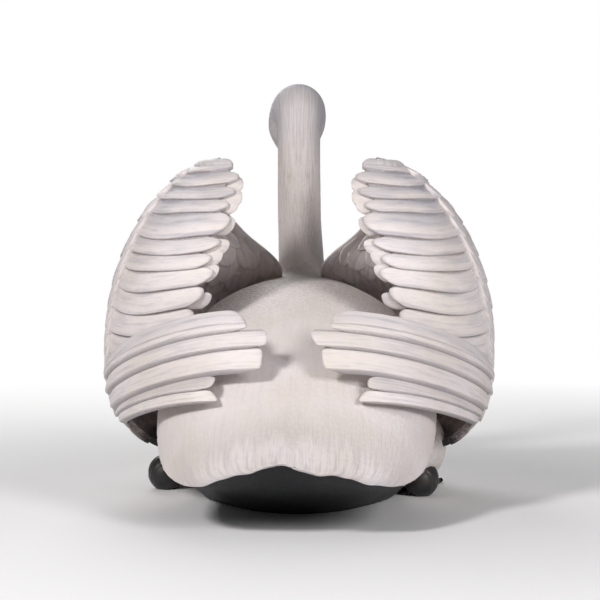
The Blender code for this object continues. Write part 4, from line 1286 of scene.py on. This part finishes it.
def make_bill_half(name, upper, material, slot):
    """The upper or lower mandible, with nail, nostrils and a thin lip along the gape."""
    base, forward, up = bill_frame()
    t = np.sin(np.linspace(0, np.pi / 2, 70))
    t[0] = -0.03
    top, gape, bottom, half_width = through(BILL_SECTIONS, np.clip(t, 0, 1)).T[:, :, None]
    t, angles = lattice(t, np.linspace(0, np.pi, 57))
    rise = np.abs(np.sin(angles)) ** 0.8
    across = half_width * np.cos(angles)
    if upper:
        nail = smoothstep(0.84, 0.92, t) * np.exp(-((across / 0.0070) ** 4))
        nostril_place = ((t - 0.42) * BILL_LENGTH / 0.0070) ** 2 + ((rise - 0.80) / 0.085) ** 2
        nostril = np.exp(-(nostril_place**2)) * (np.abs(across) > 0.004)
        height = gape + GAPE_GAP + (top - gape) * rise
        height = height + 1.1 * MM * nail * smoothstep(1.0, 0.97, t) - 1.8 * MM * nostril
        lip = 0.9 * MM * bell(rise, 0.0, 0.16) * (t < 0.97)
        across = across * (1 + lip / 0.02)
        edge = smoothstep(0.20, 0.08, rise) * smoothstep(0.05, 0.4, t)
        black = np.maximum.reduce([smoothstep(0.10, 0.02, t), nail, nostril * 1.3, edge])
    else:
        height = gape - GAPE_GAP - (gape - bottom) * rise
        across = across * 0.94
        black = 1.0
    points = base + forward * (t * BILL_LENGTH)[..., None] + up * height[..., None]
    points[..., 0] += across
    points = turned(points)
    centre = points[:, :1] * 0.5 + points[:, -1:] * 0.5
    flat = np.concatenate([points[:, -1:], centre, points[:, :1]], axis=1)
    rows, columns = t.shape
    place = together(*lattice(np.linspace(0, 1, rows), np.linspace(0, 0.8, columns)))
    edge = together(*lattice(np.linspace(0, 1, rows), [0.85, 0.90, 0.95]))
    batch = Batch()
    order = slice(None, None, -1 if upper else 1)
    for grid, share, spots in ((points, black, place), (flat, 1.0, edge)):
        batch.add_one(*(values[:, order] for values in (grid, painted(grid.shape, black=share), spots)))
    for end in (0, -1):
        rim = np.concatenate([points[end], flat[end, 1:2]])
        fan = np.stack([rim[:-1], np.broadcast_to(flat[end, 1], rim[:-1].shape)])
        batch.add_one(fan, painted(fan.shape, black=1.0), np.zeros((1, 1, 2)), np.full((1, 1, 2), 0.98))
    weld(batch.make(name + "_detail", material, slot, (name,)))


def weld(piece):
    """Joins points that lie on each other, so that a piece is one closed mesh facing out."""
    work = bmesh.new()
    work.from_mesh(piece.data)
    bmesh.ops.remove_doubles(work, verts=work.verts[:], dist=1e-6)
    bmesh.ops.dissolve_degenerate(work, edges=work.edges[:], dist=1e-7)
    bmesh.ops.recalc_face_normals(work, faces=work.faces[:])
    work.to_mesh(piece.data)
    work.free()
    piece.data.shade_smooth()


def ball(centre, radii, tilt=0.0, around=48, along=32):
    """A grid of points on an ellipsoid, tilted about the x axis."""
    fall, turn = lattice(np.linspace(0.001, np.pi - 0.001, along), ring_of(around))
    x = radii[0] * np.sin(fall) * np.cos(turn)
    y = radii[1] * np.sin(fall) * np.sin(turn)
    z = radii[2] * np.cos(fall)
    tilted = [x, y * math.cos(tilt) - z * math.sin(tilt), y * math.sin(tilt) + z * math.cos(tilt)]
    return together(*tilted) + np.asarray(centre), fall, turn


def make_ball(name, points, fall, turn, black, material, slot, replaced):
    batch = Batch()
    place = together(turn / (2 * np.pi), fall / np.pi)
    batch.add_one(points, painted(points.shape, black=black), place, wraps=True)
    batch.make(name, material, slot, (replaced,))


def make_knob(material):
    """The fleshy knob over the bill's base, an ellipsoid with fine wrinkles."""
    centre, _ = middle_and_size("bill_knob")
    points, fall, turn = ball(centre, KNOB_RADII, BILL_DROOP)
    wrinkle = 0.30 * MM * np.sin(turn * 9 + fall * 3) * np.sin(fall) ** 2
    points = points + unit(points - centre) * wrinkle[..., None]
    make_ball("bill_knob_detail", points, fall, turn, 1.0, material, "black_paint", "bill_knob")


LID_FORWARD, LID_WIDE = 0.60, 0.84  # shares of the eye's radius
LID_ROUND = 0.78  # a lid's height as a share of its width
LID_THICK = 0.85 * MM


def make_eyes(material, lid_material):
    """Glossy eyeballs and the thin black lids round them."""
    for side, _ in SIDES:
        centre, size = middle_and_size("eye_" + side)
        radius = size[2] / 2
        outward = unit(np.array([centre[0] - NECK_LEAN, -0.010, 0.004]))
        points, fall, turn = ball(centre, (radius,) * 3)
        pupil = smoothstep(0.86, 0.90, dot(unit(points - centre), outward))
        make_ball(f"eye_{side}_detail", points, fall, turn, pupil, material, "eye_paint", "eye_" + side)
        first = unit(np.cross(outward, UP))
        second = np.cross(outward, first)
        ring, tube = (angles[..., None] for angles in lattice(ring_of(48), ring_of(12)))
        middle = centre + outward * radius * LID_FORWARD
        girth = radius * LID_WIDE
        heart = middle + first * np.cos(ring) * girth + second * np.sin(ring) * girth * LID_ROUND
        rim = heart + (unit(heart - middle) * np.cos(tube) + outward * np.sin(tube)) * LID_THICK
        rim = np.concatenate([rim, rim[:1]], axis=0)
        place = together(*lattice(np.linspace(0, 1, rim.shape[0]), np.linspace(0, 0.92, rim.shape[1])))
        lid = Batch()
        lid.add_one(rim, painted(rim.shape, black=1.0), place, wraps=True)
        lid.make(f"eyelid_{side}", lid_material, "black_paint")


# ---- legs

RIDGE_PITCH = 8.5 * MM
WEB_SPREAD = math.radians(21)
TOE_IN = math.radians(3)
TOE_START, TOE_LENGTH = 0.012, 0.125
WEB_THICK = 4.5 * MM
CLAW_LENGTH = 0.0105


def make_heel(name, side, material):
    """The round heel pad, flat underneath, with curved grooves over its upper rear."""
    middle, _ = middle_and_size("heel_" + name)
    centre = np.append(middle[:2] + np.array([side * 0.002, 0.0]), HEEL_RADII[2] - 0.004)
    points, fall, turn = ball(centre, HEEL_RADII, 0.0, 96, 64)
    arc = norm(points - (centre + np.array([-side * 0.012, 0.030, -0.010])))
    ridges = np.sin(arc * 2 * np.pi / RIDGE_PITCH) * smoothstep(0.022, 0.030, arc)
    ridges = ridges * smoothstep(0.006, 0.022, points[..., 2])
    points = points + unit(points - centre) * (0.5 * MM * ridges)[..., None]
    points[..., 2] = np.maximum(points[..., 2], 0.0)
    make_ball(f"heel_{name}_detail", points, fall, turn, 0.0, material, "black_paint", "heel_" + name)


def make_foot(name, side, material):
    """The webbed foot: three jointed toes with claws on a ribbed web."""
    ankle = np.array(ANKLES[name])
    angle, r = lattice(np.linspace(-WEB_SPREAD, WEB_SPREAD, 73), np.linspace(0, 1, 48))
    toe = np.cos(np.pi * angle / WEB_SPREAD) ** 2
    narrow = toe**3
    reach = TOE_START + r * TOE_LENGTH * (0.87 + 0.13 * toe)
    heading = angle - TOE_IN
    place = together(np.sin(heading), -np.cos(heading), np.zeros(angle.shape))
    place = place * reach[..., None] + ankle
    joints = 1 + 0.16 * np.cos(r * 2 * np.pi * 3.2)
    height = WEB_THICK + 0.0105 * narrow * (1 - 0.70 * r) * joints + 0.006 * (1 - r) ** 2
    web = 0.35 * MM * np.sin(r * 60 + angle * 8) - 0.003 * smoothstep(0.93, 1.0, r)
    height = height + web * (1 - narrow)
    flow = together(angle, r * 0.1)
    surface = mirrored(place, side), np.broadcast_to(UP, place.shape)
    batch = Batch()
    u = (angle / WEB_SPREAD + 1) / 2
    add_slab(batch, surface, height, np.zeros(height.shape), painted(place.shape), flow, (0, 1), u, r)
    for heading in (-WEB_SPREAD, 0.0, WEB_SPREAD):
        forward = np.array([math.sin(heading - TOE_IN), -math.cos(heading), 0.0])
        tip = ankle + forward * (TOE_START + TOE_LENGTH - 0.006)
        along, turn = lattice(np.linspace(0, 1, 10), ring_of(16))
        radius = 3.2 * MM * (1 - along) ** 0.7
        claw = tip + forward * (along * CLAW_LENGTH)[..., None]
        claw = claw + np.cross(forward, UP) * (np.cos(turn) * radius)[..., None]
        claw[..., 2] += 5.0 * MM - 2.0 * MM * along + np.sin(turn) * radius
        claw[..., 2] = np.maximum(claw[..., 2], 0.2 * MM)
        claw = mirrored(claw, side)
        batch.add_one(claw, painted(claw.shape), together(turn / 6.3, along) * 0.1, wraps=True)
    batch.make(f"foot_{name}_detail", material, "black_paint", ("foot_" + name,))


# ---- stage

FLOOR_REACH = 30.0
FLOOR_FADES = (0.5, 2.4)  # how far out the floor starts and ends turning into the backdrop
LIGHT_TARGET = (0.0, 0.05, 0.28)
CAMERA_PLACE = (-0.075, 3.0, 0.42)
CAMERA_TILT = math.radians(1.9)
CAMERA_AIM_X = -0.0005
CAMERA_LENS, CAMERA_SENSOR = 108.0, 36.0
WHITE = (1.0, 1.0, 1.0)
WORLD_STRENGTH = 0.15
LIGHTS = (
    # name, place, watts, diameter, colour
    ("key", (1.9, 2.5, 2.3), 78.0, 0.7, (1.0, 0.975, 0.975)),
    ("fill", (-1.9, 2.4, 1.5), 48.0, 1.2, (1.0, 0.98, 0.995)),
    ("front", (0.8, -2.6, 1.8), 34.0, 1.6, WHITE),
)


def make_light(name, location, energy, size, colour):
    data = bpy.data.lights.new(name, "AREA")
    data.energy = energy
    data.color = colour
    data.shape = "DISK"
    data.size = size
    light = placed(name, data)
    light.location = location
    direction = np.array(LIGHT_TARGET) - np.array(location)
    pan = math.atan2(direction[0], -direction[1])
    tilt = math.acos(-direction[2] / np.linalg.norm(direction))
    light.rotation_euler = (tilt, 0.0, pan + math.pi)


def camera_rays(tree):
    return add_node(tree, "LightPath").outputs["Is Camera Ray"]


def make_world():
    """Dim white light all round, in front of a white backdrop."""
    world = bpy.data.worlds.new("studio")
    world.use_nodes = True
    tree = world.node_tree
    light = tree.nodes["Background"]
    light.inputs["Strength"].default_value = WORLD_STRENGTH
    backdrop = add_node(tree, "Background")
    for node in (light, backdrop):
        node.inputs["Color"].default_value = (*WHITE, 1.0)
    mix_shaders(tree, camera_rays(tree), light, backdrop, "World Output")
    bpy.context.scene.world = world
    bpy.context.scene.view_settings.view_transform = "Standard"


def make_floor():
    """A pale floor that turns into the backdrop further out."""
    mesh = bpy.data.meshes.new("floor")
    corners = [(FLOOR_REACH * x, FLOOR_REACH * y, 0) for x, y in ((-1, -1), (1, -1), (1, 1), (-1, 1))]
    mesh.from_pydata(corners, [], [(0, 1, 2, 3)])
    material, tree, shader = new_material("floor_pale")
    shader.inputs["Base Color"].default_value = (0.90, 0.90, 0.90, 1.0)
    shader.inputs["Roughness"].default_value = 0.9
    away = add_node(tree, "VectorMath", {0: object_place(tree)}, operation="LENGTH")
    far = math_node(tree, "MULTIPLY", ranged(tree, away.outputs["Value"], *FLOOR_FADES), camera_rays(tree))
    mix_shaders(tree, far, shader, add_node(tree, "Emission"), "Material Output")
    mesh.materials.append(material)
    placed("floor", mesh)


def make_camera():
    data = bpy.data.cameras.new("camera")
    data.lens = CAMERA_LENS
    data.sensor_width = CAMERA_SENSOR
    camera = placed("camera", data)
    camera.location = CAMERA_PLACE
    pan = math.atan2(CAMERA_AIM_X - CAMERA_PLACE[0], CAMERA_PLACE[1])
    camera.rotation_euler = (math.radians(90) - CAMERA_TILT, 0.0, math.pi + pan)
    bpy.context.scene.camera = camera


# ---- the statue

def build():
    make_camera()
    make_world()
    make_floor()
    for light in LIGHTS:
        make_light(*light)
    skin_paint = feather_paint("cream_strands", (480.0, 24.0), 1.0 * MM, 0.14, 0.10, 2.0 * MM)
    vane_paint = feather_paint("wing_barbs", (900.0, 60.0), 0.35 * MM, 0.16, 0.50)
    black = black_paint()
    orange = bill_paint()
    body = body_sheet()
    make_skin(body, skin_paint)
    make_plumage(body, skin_paint)
    make_bill_half("bill_upper", True, orange, "bill_paint")
    make_bill_half("bill_lower", False, orange, "black_paint")
    make_knob(black)
    make_eyes(eye_paint(), black)
    for name, side in SIDES:
        sheet = wing_sheet(side)
        make_arm(sheet, name, vane_paint)
        make_secondaries(sheet, name, vane_paint)
        make_primaries(name, side, vane_paint)
        make_coverts(sheet, name, side, vane_paint)
        make_crown(sheet, name, vane_paint)
        make_shoulder_feathers(sheet, name, side, vane_paint)
        make_heel(name, side, black)
        make_foot(name, side, black)


build()
